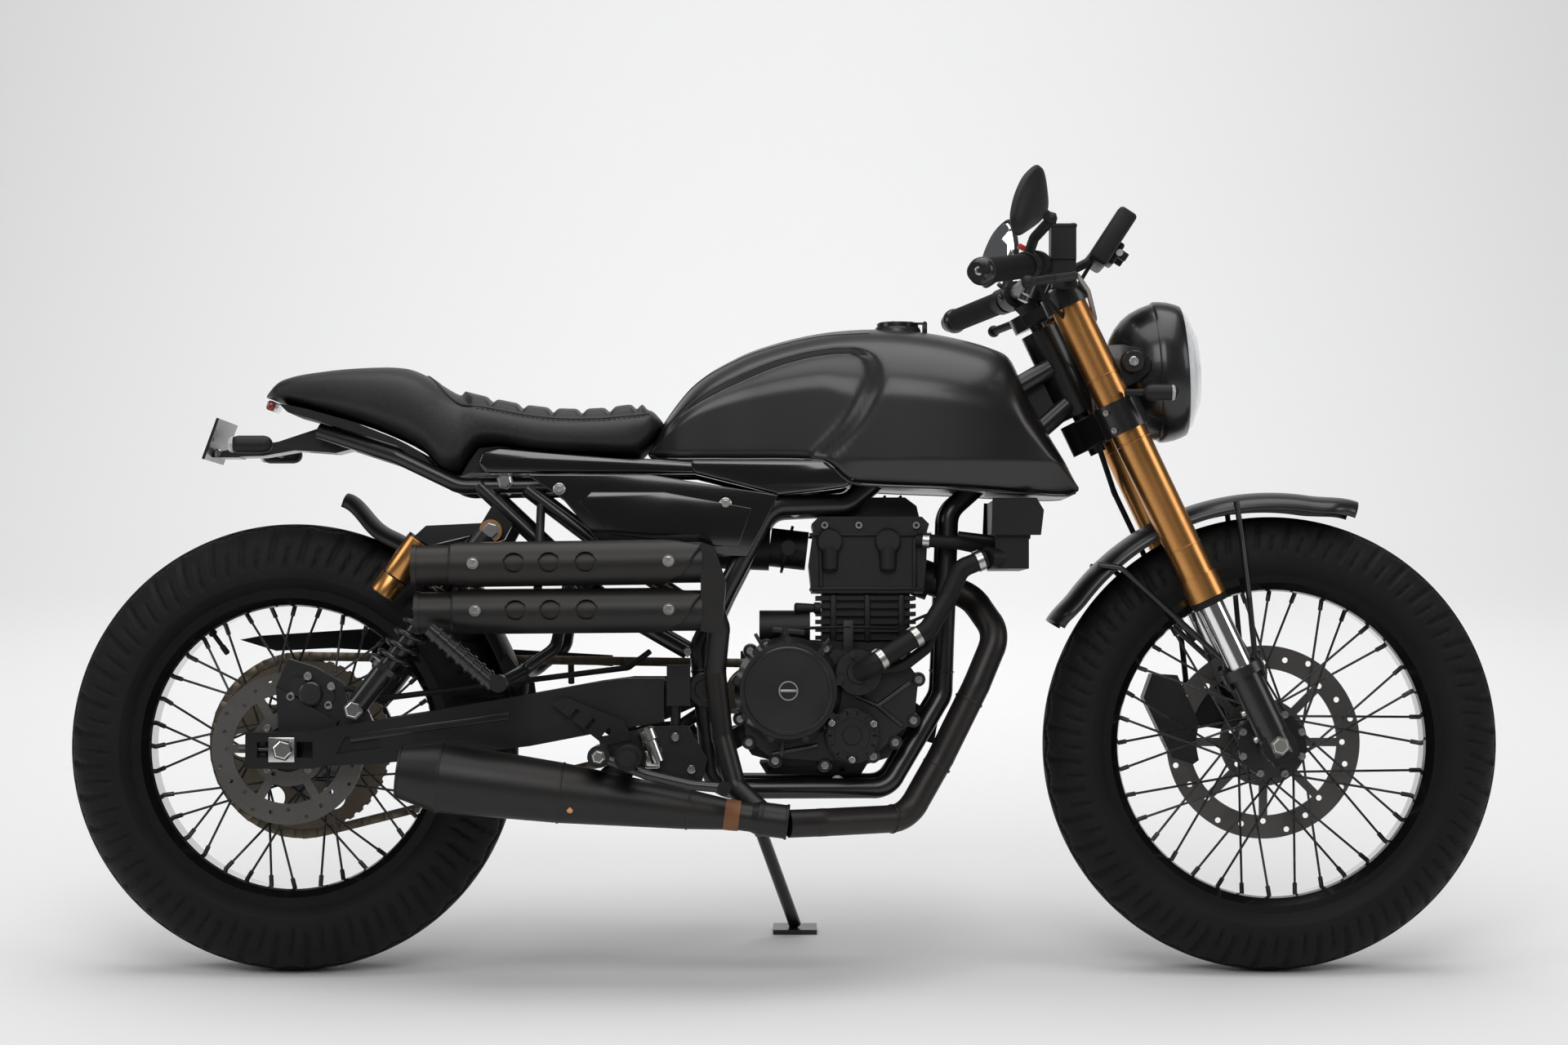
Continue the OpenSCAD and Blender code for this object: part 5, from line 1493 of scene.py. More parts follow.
@dataclass
class Cockpit(Assembly):
    """The handlebar's fittings: mirrors, display, switches, bar ends, levers' clamps and cables.

    Attributes:
        lens: the middle of the right mirror.
        yaw: how far each mirror turns towards the rider, in degrees.
    """

    body: str = "steering"
    lens: Vector = field(default_factory=lambda: mm(1004, 330, 1038))
    yaw: float = 33.0

    def build(self) -> None:
        """Models every fitting."""
        self.mirrors()
        self.display()
        self.bar_ends()
        self.switches()
        self.cables()

    def edge(self, u: float) -> tuple[float, float]:
        """A mirror's teardrop outline.

        Args:
            u: the share of the way round.

        Returns:
            How far inwards and up the edge lies from its middle, in millimetres.
        """
        corners = [(18, 48), (35, 45), (45, 23), (48, -6), (29, -25), (-4, -41), (-28, -49), (-42, -44),
            (-48, -30), (-42, -9), (-29, 13), (-9, 34)]
        place = u * len(corners)
        i, t = int(place) % len(corners), place % 1
        before, start, end, after = (corners[(i + k) % len(corners)] for k in (-1, 0, 1, 2))

        def blend(k: int) -> float:
            """The smooth curve's value along axis k."""
            return 0.5 * (2 * start[k] + (end[k] - before[k]) * t + (2 * before[k] - 5 * start[k] + 4
                * end[k] - after[k]) * t ** 2 + (3 * start[k] - before[k] - 3 * end[k] + after[k]) * t ** 3)

        return blend(0), blend(1)

    def shell(self, side: int, start: float, share: float, dome: float) -> bpy.types.Object:
        """A mirror's domed shell, or its flat glass.

        Args:
            side: 1 for the left, -1 for the right.
            start: how far its flat face lies ahead of the mirror's plane, in millimetres.
            share: the share of the outline that it reaches.
            dome: how far it bulges ahead, in millimetres.

        Returns:
            The piece.
        """
        yaw = math.radians(self.yaw)
        inwards = Vector((math.sin(yaw), -side * math.cos(yaw), 0))
        ahead = Vector((math.cos(yaw), side * math.sin(yaw), 0))
        centre = Vector((self.lens.x, side * self.lens.y, self.lens.z))

        def shape(u: float, v: float) -> Vector:
            """A point of the shell: round by u, outwards and back by v."""
            across, up = self.edge(u)
            if v < 0.8:
                reach = v / 0.8
                rise = start + dome * math.sqrt(max(0.0, 1 - reach ** 2.4)) + 2
            else:
                reach, rise = 1 - (v - 0.8) * 0.3, start + 2 - 3 * (v - 0.8) / 0.2
            reach *= share / 1000
            return (centre + inwards * across * reach + Vector((0, 0, up * reach)) + ahead * rise / 1000)

        return Bench.grid("mirror", 72, 20, shape, capped=True, sharp=50)

    def mirrors(self) -> None:
        """Models both mirrors on their clamps and stems."""
        shells, glasses = [], []
        for side in (-1, 1):
            shells.append(self.shell(side, -2, 1.0, 12))
            glasses.append(self.shell(side, -4.5, 0.9, 0.6))
            foot, elbow = mm(1008, side * 256, 972), mm(1037, side * 288, 1018)
            shells.append(Bench.tube("stem", rounded_path([foot, mm(1016, side * 262, 996), elbow,
                mm(1026, side * 292, 1026)], 0.010), 0.0072, sides=3))
            shells.append(Bench.lathe("knuckle", [(0, 0), (0.002, 0.007), (0.008, 0.0088), (0.014, 0.007),
                (0.016, 0)], elbow + Vector((-0.008, 0, 0.001)), Vector((1, 0, 0)), 24))
            along = (mm(941, side * 370, 941) - mm(1014, side * 244, 962)).normalized()
            clamp = mm(1014, side * 244, 962) + along * 0.006
            shells.append(Bench.lathe("clamp", [(0, 0.0112), (0, 0.018), (0.001, 0.019), (0.015, 0.019),
                (0.016, 0.018), (0.016, 0.0112), (0, 0.0112)], clamp, along, 40))
        self.fit("mirror_shells", shells, MOULDED, "mirrors", "mirrors")
        self.fit("mirror_glasses", glasses, MIRROR_GLASS, "mirrors")

    def display(self) -> None:
        """Models the slab display, its screen, bracket and buttons."""
        turn = Matrix.Rotation(math.radians(33), 4, "Y")
        centre = mm(1140, 0, 1022)
        parts = [Bench.block("slab", centre, mm(28, 124, 84), turn, 0.006, 3), Bench.block("boss", centre
            + turn.to_3x3() @ mm(17, 0, -14), mm(10, 60, 34), turn, 0.004), Bench.tube("cross",
            [mm(1056, -36, 964), mm(1056, 36, 964)], 0.007, sides=3), Bench.tube("post",
            [mm(1056, 0, 964), mm(1040, 0, 934)], 0.007, sides=3)]
        for side in (-1, 1):
            parts.append(Bench.tube("stay", [mm(1136, side * 30, 1004), mm(1052, side * 30, 962)], 0.005,
                sides=3))
            parts.append(Bench.block("tab", mm(1150, side * 34, 1000), mm(26, 10, 12), turn, 0.002))
        self.fit("display", parts, MOULDED, "instrument", "instrument")
        screen = Bench.block("display_screen", centre + turn.to_3x3() @ mm(-13.9, 0, 2), mm(1.2, 110, 66),
            turn, 0.0004)
        self.put(screen, SCREEN, "instrument")
        buttons = [Bench.lathe("bolt", [(0, 0), (0, 0.005), (0.004, 0.005), (0.004, 0)],
            mm(1150, side * 39, 1000), Vector((0, side, 0)), 16) for side in (-1, 1)]
        self.fit("display_bolts", buttons, BARE_STEEL, "instrument")

    def bar_ends(self) -> None:
        """Adds the round bar ends, their bolts and the ribs of the grips."""
        ends, bolts, ribs = [], [], []
        for side in (-1, 1):
            tip, inner = mm(941, side * 370, 941), mm(1014, side * 244, 962)
            out = (tip - inner).normalized()
            ends.append(Bench.lathe("end", [(-0.008, 0), (-0.008, 0.015), (-0.004, 0.0180), (0.001, 0.0188),
                (0.006, 0.0180), (0.010, 0.0155), (0.0130, 0.0105), (0.0130, 0)], tip, out, 48))
            facing = Vector((-0.25, side, -0.05)).normalized()
            bolts.append(Bench.bolt("bolt", tip + facing * 0.0165, facing, 0.0062, 0.003))
            for i in range(26):
                place = inner + out * (0.030 + 0.0042 * i)
                ribs.append(Bench.lathe("rib", [(0, 0.0158), (0.0006, 0.0167), (0.0022, 0.0167),
                    (0.0028, 0.0158)], place, out, 28))
        self.fit("bar_ends", ends, SATIN_BLACK, "handlebar")
        self.fit("bar_end_bolts", bolts, BARE_STEEL, "handlebar")
        self.fit("grip_ribs", ribs, RUBBER, "grips")

    def switches(self) -> None:
        """Adds switch buttons, the red stop switch and the silver clamps."""
        rocker = Bench.block("stop_switch", mm(1004, -222, 987), mm(15, 12, 7),
            Matrix.Rotation(0.5, 4, "Y"), 0.002)
        self.put(rocker, RED, "hand_controls")
        buttons = [Bench.block("button", mm(1000, side * 222 + shift, z), mm(9, 10, 6),
            Matrix.Rotation(0.7, 4, "Y"), 0.0015) for side, shift, z in ((1, 0, 980), (1, 8, 968),
            (1, -8, 962), (-1, 6, 962))]
        self.fit("buttons", buttons, COVER_BLACK, "hand_controls")
        silver = []
        for side in (-1, 1):
            silver.append(Bench.lathe("pivot", [(0, 0), (0, 0.008), (0.003, 0.009), (0.018, 0.009),
                (0.021, 0.008), (0.021, 0)], mm(1066, side * 178, 942), Vector((0, 0, 1)), 28))
            silver.append(Bench.block("clamp", mm(1044, side * 166, 966), mm(12, 26, 20), bevel=0.004))
            silver.append(Bench.lathe("banjo", [(0, 0), (0, 0.0085), (0.012, 0.0085), (0.014, 0.006),
                (0.014, 0)], mm(1058, side * 157, 958), Vector((0, -side, 0)), 24))
        self.fit("lever_fittings", silver, BRIGHT_STEEL, "hand_controls")
        cap = Bench.block("reservoir_cap", mm(1061, -168, 1021), mm(36, 46, 6), bevel=0.002)
        screws = [Bench.bolt("screw", mm(x, -168 + y, 1023.6), Vector((0, 0, 1)), 0.0028, 0.0014)
            for x in (1048, 1074) for y in (-17, 17)]
        self.put(cap, MOULDED, "hand_controls")
        self.fit("reservoir_screws", screws, BARE_STEEL, "hand_controls")

    def cables(self) -> None:
        """Adds the braided brake line's top end, and the wires and cables round the stem."""
        line = rounded_path([mm(1060, -150, 958), mm(1082, -138, 962), mm(1100, -116, 940),
            mm(1112, -84, 905), mm(1104, -60, 862), fork_point(-30, -20, 500), fork_point(-30, 40, 478)],
            0.018)
        self.put(Bench.tube("brake_line", line, 0.0034, sides=3), BRAID, "front_brake_hose")
        wires = [[mm(1020, -214, 948), mm(1036, -170, 928), mm(1062, -120, 908), mm(1090, -70, 880),
            mm(1110, -30, 850), mm(1134, -10, 836)], [mm(1020, 214, 948), mm(1036, 170, 926),
            mm(1064, 120, 904), mm(1092, 66, 878), mm(1112, 26, 848), mm(1136, 8, 830)],
            [mm(1120, -20, 1000), mm(1096, -22, 960), mm(1084, -24, 910), mm(1118, -16, 850),
            mm(1136, -6, 840)], [mm(1066, 178, 944), mm(1086, 140, 930), mm(1104, 80, 890),
            mm(1110, 40, 850), mm(1134, 14, 838)]]
        tubes = [Bench.tube("wire", rounded_path(wire, 0.02), 0.0028, sides=2) for wire in wires]
        self.fit("wires", tubes, RUBBER, "hand_controls")


@dataclass
class FrontEnd(Assembly):
    """The front mudguard, its stays, indicator lenses, lamp lugs, and the fork's fittings.

    Attributes:
        start: the angle round the axle where the mudguard starts at its front, in degrees.
        end: where it ends behind.
        radius: its radius, in millimetres.
        half: half its width, in millimetres.
        guard_skin: how thick its sheet is, in metres.
    """

    body: str = "steering"
    start: float = 70.0
    end: float = 151.0
    radius: float = 351.0
    half: float = 62.0
    guard_skin: float = 0.0022

    def guard_point(self, u: float, v: float) -> Vector:
        """A point of the mudguard: across by u, round by v."""
        across = 2 * u - 1
        angle = math.radians(self.start + (self.end - self.start) * v)
        flare = 9 * step(0.14, 0, v) + 6 * step(0.9, 1, v)
        round_off = 1 - 0.32 * step(0.1, 0, v) ** 2 - 0.2 * step(0.94, 1, v) ** 2
        drop = 17 * abs(across) ** 2.6 + 8 * step(0.9, 1, abs(across))
        r = self.radius + flare - drop
        return FRONT_AXLE + mm(r * math.cos(angle), self.half * across * round_off, r * math.sin(angle))

    def build(self) -> None:
        """Models everything at the front."""
        outer = Bench.grid("guard", 28, 120, self.guard_point, sharp=70)
        Bench.thicken(outer, self.guard_skin)
        stays = [outer]
        for side in (-1, 1):
            stays.append(Bench.tube("stay", rounded_path([mm(1334, side * 76, 436),
                mm(1326, side * 74, 520), mm(1318, side * 62, 600), mm(1310, side * 58, 654)], 0.02), 0.004,
                sides=2))
            stays.append(Bench.tube("stay", rounded_path([mm(1300, side * 76, 424),
                mm(1250, side * 76, 470), mm(1150, side * 64, 562), mm(1118, side * 60, 566)], 0.02), 0.004,
                sides=2))
            corners = [mm(x, side * 70, z) for x, z in ((1342, 450), (1290, 432), (1290, 412), (1342, 428))]
            stays.append(Bench.plate("bracket", corners, Vector((0, side * 0.0072, 0))))
        self.fit("front_fender", stays, TANK_BLACK, "front_mudguard", "front_mudguard")
        self.fork_fittings()
        self.lamps()

    def fork_fittings(self) -> None:
        """Adds pinch bolts, seals, axle nuts and the yokes' bolts."""
        bolts, seals = [], []
        for side in (-1, 1):
            for z in (20, 60):
                bolts.append(Bench.bolt("bolt", fork_point(-22, side * 95, z), fork_point(-23, side * 95, z)
                    - fork_point(-22, side * 95, z), 0.005, 0.005))
            bolts.append(Bench.bolt("bolt", FRONT_AXLE + Vector((0, side * 0.1165, 0)),
                Vector((0, side, 0)), 0.011, 0.007, socket=False))
            for z in (487, 513):
                bolts.append(Bench.bolt("bolt", fork_point(-20, side * 124, z), Vector((-0.3, side, 0)),
                    0.0045, 0.005))
            bolts.append(Bench.lathe("cap", [(0, 0), (0, 0.017), (0.004, 0.0165), (0.005, 0.009),
                (0.009, 0.009), (0.009, 0)], fork_point(0, side * 95, 696), fork_point(0, 0, 1)
                - fork_point(0, 0, 0), 6))
            foot = fork_point(0, side * 95, 214)
            up = fork_point(0, 0, 1) - fork_point(0, 0, 0)
            seals.append(Bench.lathe("seal", [(0, 0.0178), (0, 0.024), (0.004, 0.0255), (0.010, 0.0255),
                (0.010, 0.0178)], foot, up, 48))
        self.fit("fork_bolts", bolts, BARE_STEEL, "fork_bottoms")
        self.fit("fork_seals", seals, RUBBER, "fork_bottoms")
        rings = [Bench.lathe("ring", [(0, 0.0249), (0.0006, 0.0256), (0.0022, 0.0256), (0.0028, 0.0249)],
            fork_point(0, side * 95, z), fork_point(0, 0, 1) - fork_point(0, 0, 0), 64) for side in (-1, 1)
            for z in (300, 462, 560)]
        self.fit("fork_rings", rings, GOLD, "fork_tubes")

    def lamps(self) -> None:
        """Adds the lamp's side lugs and the front indicators' lenses."""
        lugs, bolts, lenses = [], [], []
        for side in (-1, 1):
            out = Vector((0, side, 0))
            lugs.append(Bench.lathe("lug", [(0, 0), (0, 0.018), (0.012, 0.017), (0.016, 0.014), (0.016, 0)],
                mm(1163, side * 95, 844), out, 40))
            bolts.append(Bench.bolt("bolt", mm(1163, side * 111, 844), out, 0.0065, 0.005))
            lenses.append(Bench.lathe("lens", [(0, 0.0105), (0.003, 0.0112), (0.006, 0.0100),
                (0.009, 0.006), (0.0100, 0)], mm(1210, side * 140, 799), Vector((1, 0, 0)), 32))
        self.fit("lamp_lugs", lugs, SATIN_BLACK, "headlight")
        self.fit("lamp_bolts", bolts, BARE_STEEL, "headlight")
        self.fit("front_indicator_lenses", lenses, INDICATOR_LENS, "front_indicators")


# ---------------------------------------------------------------- rear end and frame


@dataclass
class RearEnd(Assembly):
    """The springs, chain links, axle blocks, mudguard skin, tail lamps and caliper bolts.

    Attributes:
        pitch: the chain's pitch, in metres.
        shock_foot: the lower eye of the right shock absorber, mirrored.
        shock_head: its upper eye.
        guard_skin: how thick the mudguard's sheet is, in metres.
    """

    pitch: float = 0.0163
    shock_foot: Vector = field(default_factory=lambda: mm(97, 124, 367))
    shock_head: Vector = field(default_factory=lambda: mm(284, 124, 611))
    guard_skin: float = 0.0025

    def build(self) -> None:
        """Models everything at the rear."""
        self.springs()
        self.chain()
        self.axle()
        self.fender()
        self.lamps()

    def springs(self) -> None:
        """Winds both springs and adds the gold reservoirs and adjusters."""
        coils, gold, bolts = [], [], []
        for side in (-1, 1):
            foot = Vector((self.shock_foot.x, side * self.shock_foot.y, self.shock_foot.z))
            head = Vector((self.shock_head.x, side * self.shock_head.y, self.shock_head.z))
            up = (head - foot).normalized()
            side_way = up.orthogonal().normalized()
            other = up.cross(side_way)
            path = []
            for i in range(9 * 20 + 1):
                turn = 2 * math.pi * i / 20
                rise = 0.0782 + 0.1676 * i / 180
                path.append(foot + up * rise + (side_way * math.cos(turn) + other * math.sin(turn))
                    * 0.0205)
            coils.append(Bench.tube("coil", path, 0.0042, sides=2))
            start, end = mm(134, side * 124, 524), mm(188, side * 124, 600)
            way = end - start
            gold.append(Bench.lathe("reservoir", [(0, 0), (0, 0.0165), (0.002, 0.0184), (0.028, 0.0184),
                (0.029, 0.0178), (0.031, 0.0178), (0.032, 0.0184), (0.089, 0.0184), (0.0905, 0.0172),
                (0.0915, 0)], start, way, 48))
            bolts += [Bench.bolt("bolt", mm(x, side * 134, z), Vector((0, side, 0)), 0.011, 0.007, False)
                for x, z in ((97, 367), (284, 611))]
            gold.append(Bench.lathe("washer", [(0, 0.0), (0, 0.0155), (0.0015, 0.0155), (0.0015, 0.0)],
                mm(284, side * 133.5, 611), Vector((0, side, 0)), 32))
        self.fit("springs", coils, SATIN_BLACK, "shock_springs", "shock_springs")
        self.fit("reservoirs", gold, GOLD, "shock_absorbers")
        self.fit("shock_bolts", bolts, BRIGHT_STEEL, "shock_absorbers")

    def chain(self) -> None:
        """Lays the chain's links round both sprockets."""
        rear, front = (Vector((0, 0, 0.312)), 0.1265), (Vector((0.640, 0, 0.385)), 0.0435)
        line = (front[0] - rear[0])
        slope = math.atan2(line.z, line.x)
        lean = math.acos((rear[1] - front[1]) / line.length)
        path = []
        for centre, radius, start, end in ((rear[0], rear[1], slope + lean, slope + 2 * math.pi - lean),
                (front[0], front[1], slope - lean, slope + lean)):
            for i in range(41):
                a = start + (end - start) * i / 40
                path.append(centre + Vector((math.cos(a), 0, math.sin(a))) * radius)
        path.append(path[0])
        total = sum((b - a).length for a, b in zip(path, path[1:]))
        count = 2 * round(total / self.pitch / 2)
        links, done, index = [], 0.0, 0
        for i in range(count):
            due = total * i / count
            while done + (path[index + 1] - path[index]).length < due:
                done += (path[index + 1] - path[index]).length
                index += 1
            a, b = path[index], path[index + 1]
            way = (b - a).normalized()
            place = a + way * (due - done)
            turn = Matrix.Rotation(-math.atan2(way.z, way.x), 4, "Y")
            gap = 0.0052 if i % 2 else 0.0037
            for side in (-1, 1):
                links.append(Bench.block("link", place + Vector((0, 0.082 + side * gap, 0)),
                    Vector((0.0215, 0.0014, 0.0125)), turn, 0.0042, 2))
            links.append(Bench.lathe("roller", [(0, 0.0048), (0.0062, 0.0048)], place
                + Vector((0, 0.0789, 0)) + way * self.pitch / 2, Vector((0, 1, 0)), 10))
        sprocket = Bench.lathe("sprocket", [(0, 0), (0, 0.040), (0.006, 0.040), (0.006, 0.016),
            (0.013, 0.016), (0.013, 0)], mm(640, 79, 385), Vector((0, 1, 0)), 32)
        shaft = Bench.lathe("shaft", [(0, 0), (0, 0.012), (0.032, 0.012), (0.032, 0)], mm(640, 60, 385),
            Vector((0, 1, 0)), 24)
        self.fit("chain_links", [*links, sprocket, shaft], CHAIN_STEEL, "chain", "chain")

    def axle(self) -> None:
        """Adds the axle's nuts, its square blocks and the swingarm's trim."""
        bright, black = [], []
        for side in (-1, 1):
            out = Vector((0, side, 0))
            bright.append(Bench.block("block", mm(-2, side * 126.4, 312), mm(36, 4, 34), bevel=0.0012))
            bright.append(Bench.bolt("nut", mm(0, side * 128, 312), out, 0.0128, 0.009, False))
            bright.append(Bench.bolt("pivot", mm(576, side * 104.4, 394), out, 0.0075, 0.007))
            black.append(Bench.lathe("ring", [(0, 0.0132), (0, 0.0235), (0.003, 0.0235), (0.0045, 0.022),
                (0.0045, 0.0145), (0.003, 0.0132)], mm(576, side * 118, 394), out, 48))
            black.append(Bench.block("rib", mm(200, side * 124.4, 343), mm(220, 2.4, 10),
                Matrix.Rotation(-0.14, 4, "Y"), 0.001))
        self.fit("axle_blocks", bright, BRIGHT_STEEL, "swingarm")
        self.fit("swingarm_trim", black, SATIN_BLACK, "swingarm")
        bolts = []
        for x, z in ((6, 384), (58, 372), (30, 412), (62, 398)):
            bolts.append(Bench.bolt("bolt", mm(x, -92, z), Vector((0, -1, 0)), 0.0062, 0.006))
        self.fit("caliper_bolts", bolts, BARE_STEEL, "rear_caliper")
        cap = Bench.lathe("caliper_cap", [(0, 0), (0, 0.0175), (0.008, 0.0165), (0.010, 0.014), (0.010, 0)],
            mm(34, -92, 388), Vector((0, -1, 0)), 40)
        self.put(cap, COVER_BLACK, "rear_caliper")

    def fender(self) -> None:
        """Models the rear mudguard, its upswept tip and its brackets."""

        def shape(u: float, v: float) -> Vector:
            """A point of the mudguard: across by u, round by v."""
            across = 2 * u - 1
            angle = math.radians(12 + 66 * v)
            flick = 30 * step(0.8, 1.0, v) ** 1.5
            drop = 15 * abs(across) ** 2.6 + 5 * step(0.88, 1, abs(across))
            r = 333 + flick - drop
            return REAR_AXLE + mm(r * math.cos(angle), 61 * across, r * math.sin(angle))

        skin = Bench.grid("guard", 26, 90, shape, sharp=70)
        Bench.thicken(skin, self.guard_skin)
        parts = [skin]
        for side in (-1, 1):
            parts.append(Bench.tube("stay", [mm(326, side * 58, 400), mm(326, side * 99, 378)], 0.005,
                sides=2))
            corners = [mm(x, side * 57, z) for x, z in ((300, 446), (330, 400), (334, 376), (318, 376),
                (290, 430))]
            parts.append(Bench.plate("bracket", corners, Vector((0, side * 0.0045, 0))))
        self.fit("rear_fender", parts, MOULDED, "rear_mudguard", "rear_mudguard")

    def lamps(self) -> None:
        """Adds the tail lamp, the rear indicators' lenses and the plate holder's bolts."""
        lenses = [Bench.lathe("lens", [(0, 0.0108), (0.002, 0.0112), (0.006, 0.009), (0.008, 0)],
            mm(-64, side * 150, 728), Vector((-1, 0, 0)), 32) for side in (-1, 1)]
        self.fit("rear_indicator_lenses", lenses, INDICATOR_LENS, "rear_indicators")
        tail = Bench.block("tail_lamp", mm(-30, 0, 788), mm(12, 70, 14), Matrix.Rotation(0.3, 4, "Y"),
            0.004)
        self.put(tail, RED_LENS, "tail_bracket")
        bolts = [Bench.bolt("bolt", mm(x, side * 30, z), Vector((0, side, 0)), 0.0055, 0.005)
            for side in (-1, 1) for x, z in ((74, 734), (-38, 728), (-104, 722))]
        self.fit("tail_bolts", bolts, BRIGHT_STEEL, "tail_bracket")


@dataclass
class Chassis(Assembly):
    """The frame's bolts, the footrests' fittings and rubbers, and the weld beads.
    """


    def build(self) -> None:
        """Models the small pieces on the frame."""
        bolts = []
        for side in (-1, 1):
            out = Vector((0, side, 0))
            bolts.append(Bench.bolt("bolt", mm(301, side * 96, 680), out, 0.0095, 0.008, False))
            for x, z in ((497, 320), (536, 330), (558, 286)):
                bolts.append(Bench.bolt("bolt", mm(x, side * 138, z), out, 0.0058, 0.005))
            bolts.append(Bench.bolt("bolt", mm(552, side * 110, 446), out, 0.006, 0.006))
            bolts.append(Bench.bolt("bolt", mm(436, side * 232, 306), out, 0.008, 0.006, False))
        self.fit("frame_bolts", bolts, BRIGHT_STEEL, "footrest_brackets")
        pump = Bench.lathe("rear_pump", [(0, 0), (0, 0.010), (0.030, 0.010), (0.032, 0.013), (0.046, 0.013),
            (0.050, 0.008), (0.050, 0)], mm(512, -142, 296), Vector((-0.35, 0, 0.94)), 32)
        heel = Bench.block("heel", mm(505, -142, 300), mm(22, 12, 26), bevel=0.004)
        self.fit("rear_pump", [pump, heel], BRIGHT_STEEL, "footrest_brackets")
        boots = [Bench.lathe("boot", [(0, 0.0118), (0, 0.0158), (0.07, 0.0158), (0.074, 0.014),
            (0.074, 0.0)], mm(476, side * 200, 305), Vector((0, side, 0)), 28) for side in (-1, 1)]
        for side in (-1, 1):
            for i in range(7):
                boots.append(Bench.lathe("rib", [(0, 0.0156), (0.001, 0.0172), (0.004, 0.0172),
                    (0.005, 0.0156)], mm(476, side * (204 + 10 * i), 305), Vector((0, side, 0)), 28))
        self.fit("peg_rubbers", boots, RUBBER, "footrest_brackets")
        self.welds()

    def welds(self) -> None:
        """Adds weld beads where the frame's tubes meet."""
        beads = []
        for start, way in ((mm(601, 104, 524), Vector((-33, 0, -72))),
                (mm(568, 104, 452), Vector((18, 0, -194))), (mm(903, 62, 386), Vector((9, -12, 254)))):
            for side in (-1, 1):
                place = Vector((start.x, side * start.y, start.z))
                along = Vector((way.x, side * way.y, way.z)).normalized()
                beads.append(Bench.lathe("bead", [(0, 0.0138), (0.001, 0.0150), (0.003, 0.0150),
                    (0.004, 0.0138)], place + along * 0.03, along, 32))
        self.fit("weld_beads", beads, SATIN_BLACK, "main_frame")


# ---------------------------------------------------------------- studio


@dataclass
class Studio:
    """The plain studio and the camera, set where the reference view has them.

    Attributes:
        distance: from the machine's mid-plane to the lens, in metres.
        along: where the camera stands along the machine.
        height: the lens's height.
        lens: its focal length in millimetres, on a 36 mm sensor.
        shift: how far the lens is shifted up.
    """

    distance: float = 5.0
    along: float = 0.684
    height: float = 0.472
    lens: float = 81.96
    shift: float = 0.0703

    def build(self) -> None:
        """Sets the floor, the lights and the camera."""
        self.floor()
        self.light("key", (-0.4, -4.1, 3.8), (0.0, 0.0, 0.6), 2.7, 88)
        self.light("top", (0.0, 0.2, 4.4), (0.0, 0.0, 0.4), 4.4, 135)
        self.light("backdrop", (0.0, 3.0, 4.6), (0.0, 7.0, 1.5), 4.0, 158)
        self.light("front", (3.8, -1.2, 2.2), (0.2, 0.0, 0.6), 1.8, 26)
        self.light("rear", (-3.8, -1.2, 2.2), (-0.2, 0.0, 0.6), 1.8, 26)
        self.camera()
        world = bpy.data.worlds.new("studio")
        world.use_nodes = True
        world.node_tree.nodes["Background"].inputs["Color"].default_value = (0.93, 0.935, 0.94, 1)
        world.node_tree.nodes["Background"].inputs["Strength"].default_value = 0.1
        bpy.context.scene.world = world
        bpy.context.scene.view_settings.view_transform = "Standard"

    def floor(self) -> None:
        """Lays a pale floor that sweeps up behind the machine."""
        Bench.clear()
        bpy.ops.mesh.primitive_grid_add(x_subdivisions=2, y_subdivisions=60, size=2)
        floor = bpy.context.object
        floor.name = "studio_floor"
        for vertex in floor.data.vertices:
            reach = (vertex.co.y + 1) * 12 - 12
            rise = max(0.0, reach - 4.0)
            vertex.co = Vector((vertex.co.x * 16, min(reach, 4.0 + 4.0 * math.tanh(rise / 4)), rise ** 2
                / (rise + 3.0)))
        Bench.smooth(floor, 60)
        material = bpy.data.materials.new("studio_floor")
        material.use_nodes = True
        shader = material.node_tree.nodes["Principled BSDF"]
        shader.inputs["Base Color"].default_value = (0.9, 0.9, 0.905, 1)
        shader.inputs["Roughness"].default_value = 0.75
        floor.data.materials.append(material)

    def light(self, name: str, place: Point, target: Point, size: float, power: float) -> None:
        """Hangs one soft light.

        Args:
            name: its name.
            place: where it hangs.
            target: what it faces.
            size: the side of its panel.
            power: its power in watts.
        """
        Bench.clear()
        bpy.ops.object.light_add(type="AREA", location=place)
        lamp = bpy.context.object
        lamp.name = name
        lamp.data.shape = "SQUARE"
        lamp.data.size = size
        lamp.data.energy = power
        lamp.rotation_euler = (Vector(target) - Vector(place)).to_track_quat("-Z", "Y").to_euler()

    def camera(self) -> None:
        """Sets the camera square to the leaning machine's right side."""
        Bench.clear()
        bpy.ops.object.camera_add()
        camera = bpy.context.object
        camera.name = "camera"
        camera.data.lens = self.lens
        camera.data.sensor_width = 36
        camera.data.shift_y = self.shift
        look = Matrix.Rotation(math.radians(90), 4, "X")
        stand = Matrix.Translation(Vector((self.along, -self.distance, self.height)))
        camera.matrix_world = STANCE.matrix @ stand @ look
        bpy.context.scene.camera = camera


# ---------------------------------------------------------------- the machine


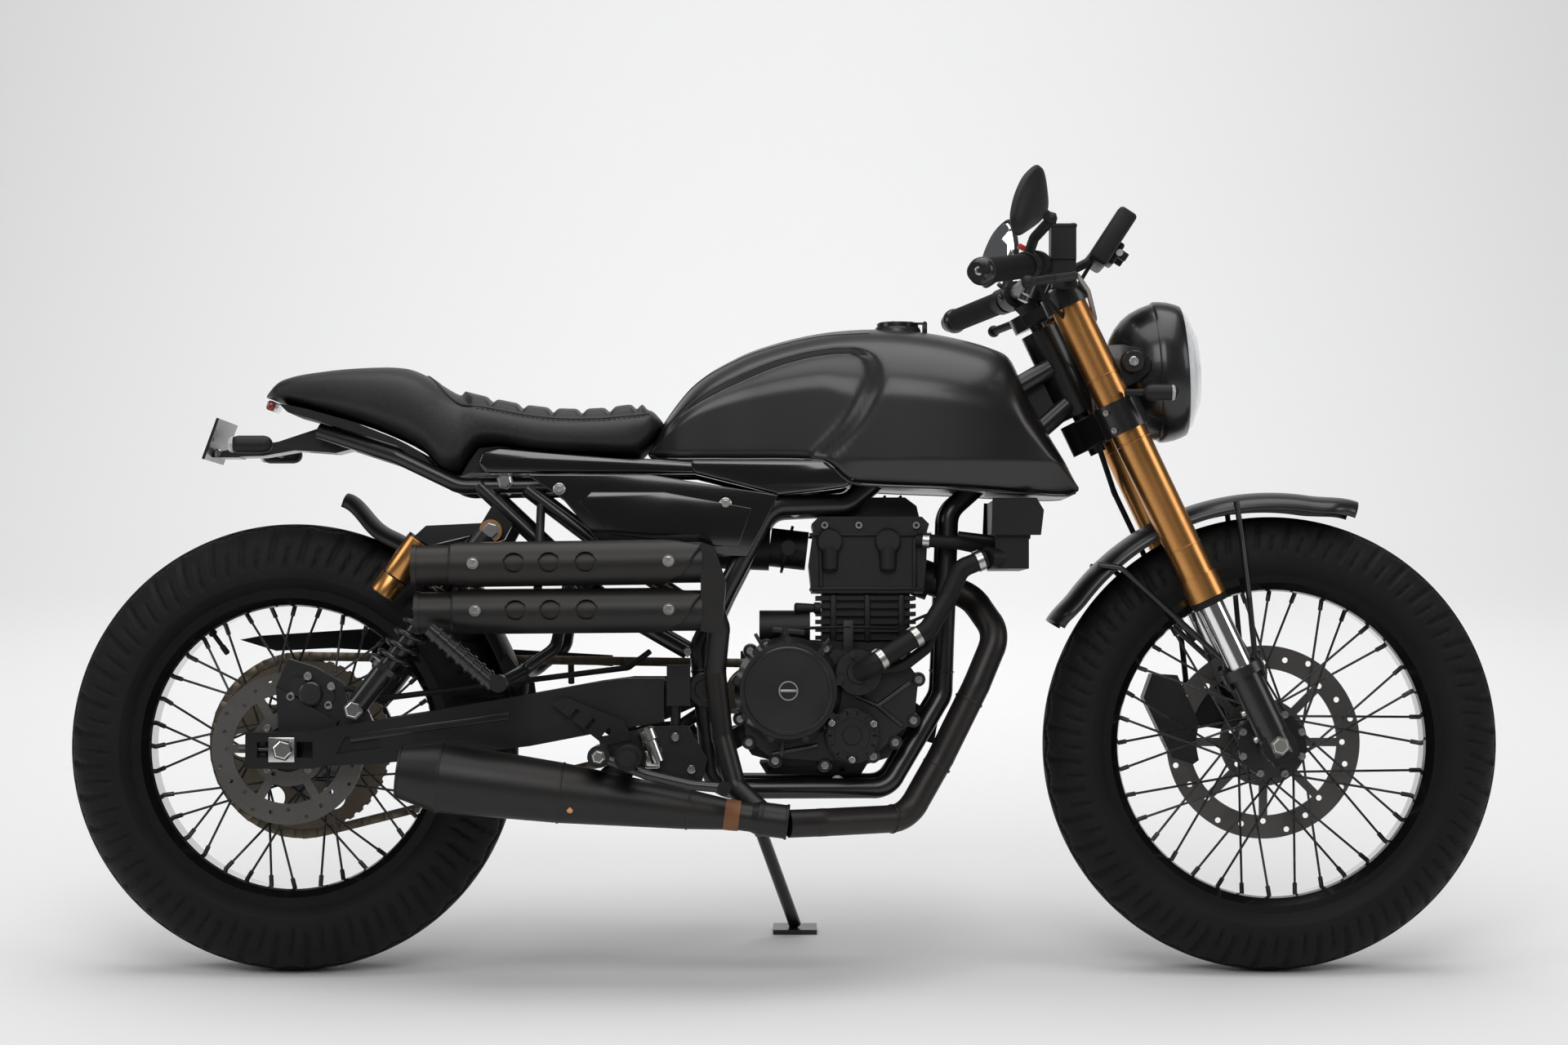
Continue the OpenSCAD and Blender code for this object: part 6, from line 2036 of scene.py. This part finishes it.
DRESS: dict[str, AnyFinish] = {"main_frame": SATIN_BLACK, "subframe": SATIN_BLACK,
    "crankcase": ENGINE_BLACK, "cylinder_head": ENGINE_BLACK, "engine_covers": COVER_BLACK,
    "radiator": MOULDED, "coolant_hoses": RUBBER, "throttle_body": MOULDED, "exhaust_header": HEADER_BLACK,
    "lower_silencer": CAN_BLACK, "upper_silencers": CAN_BLACK, "heat_shields": CAN_BLACK,
    "fuel_tank": TANK_BLACK, "seat_base": MOULDED, "side_panels": GLOSS_BLACK, "tail_bracket": SATIN_BLACK,
    "rear_indicators": MOULDED, "swingarm": SATIN_BLACK, "shock_absorbers": SATIN_BLACK,
    "shock_springs": SATIN_BLACK, "rear_mudguard": MOULDED, "chain": CHAIN_STEEL, "chain_guard": MOULDED,
    "rear_caliper": ENGINE_BLACK, "rear_brake_hose": RUBBER, "footrest_brackets": SATIN_BLACK,
    "foot_levers": SATIN_BLACK, "pillion_footrests": SATIN_BLACK, "filler_cap": TANK_BLACK,
    "side_stand": SATIN_BLACK, "yokes": SATIN_BLACK, "fork_tubes": GOLD, "fork_stanchions": CHROME,
    "fork_bottoms": SATIN_BLACK, "handlebar": SATIN_BLACK, "grips": RUBBER, "hand_controls": MOULDED,
    "mirrors": MOULDED, "instrument": MOULDED, "headlight": GLOSS_BLACK, "headlight_lens": CLEAR_LENS,
    "front_indicators": MOULDED, "front_mudguard": SATIN_BLACK, "front_caliper": ENGINE_BLACK,
    "front_brake_hose": RUBBER}


def build_machine() -> None:
    """Dresses the CAD nodes and adds every modelled piece."""
    for node, finish in DRESS.items():
        CATALOGUE.dress(node, finish)
    for part in (Wheels(), Seat(), Tank(), SidePanels(), Engine(), Exhaust(), Headlight(), Cockpit(),
            FrontEnd(), RearEnd(), Chassis()):
        LOG.info("building %s", type(part).__name__)
        part.build()


def write_sizes() -> None:
    """Updates the view layer."""
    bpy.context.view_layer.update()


def main() -> None:
    """Builds the machine and its studio."""
    logging.basicConfig(level=logging.INFO, format="%(name)s: %(message)s")
    build_machine()
    Studio().build()
    write_sizes()
    LOG.info("%d modelled pieces", CATALOGUE.count)


if __name__ == "__main__":
    main()
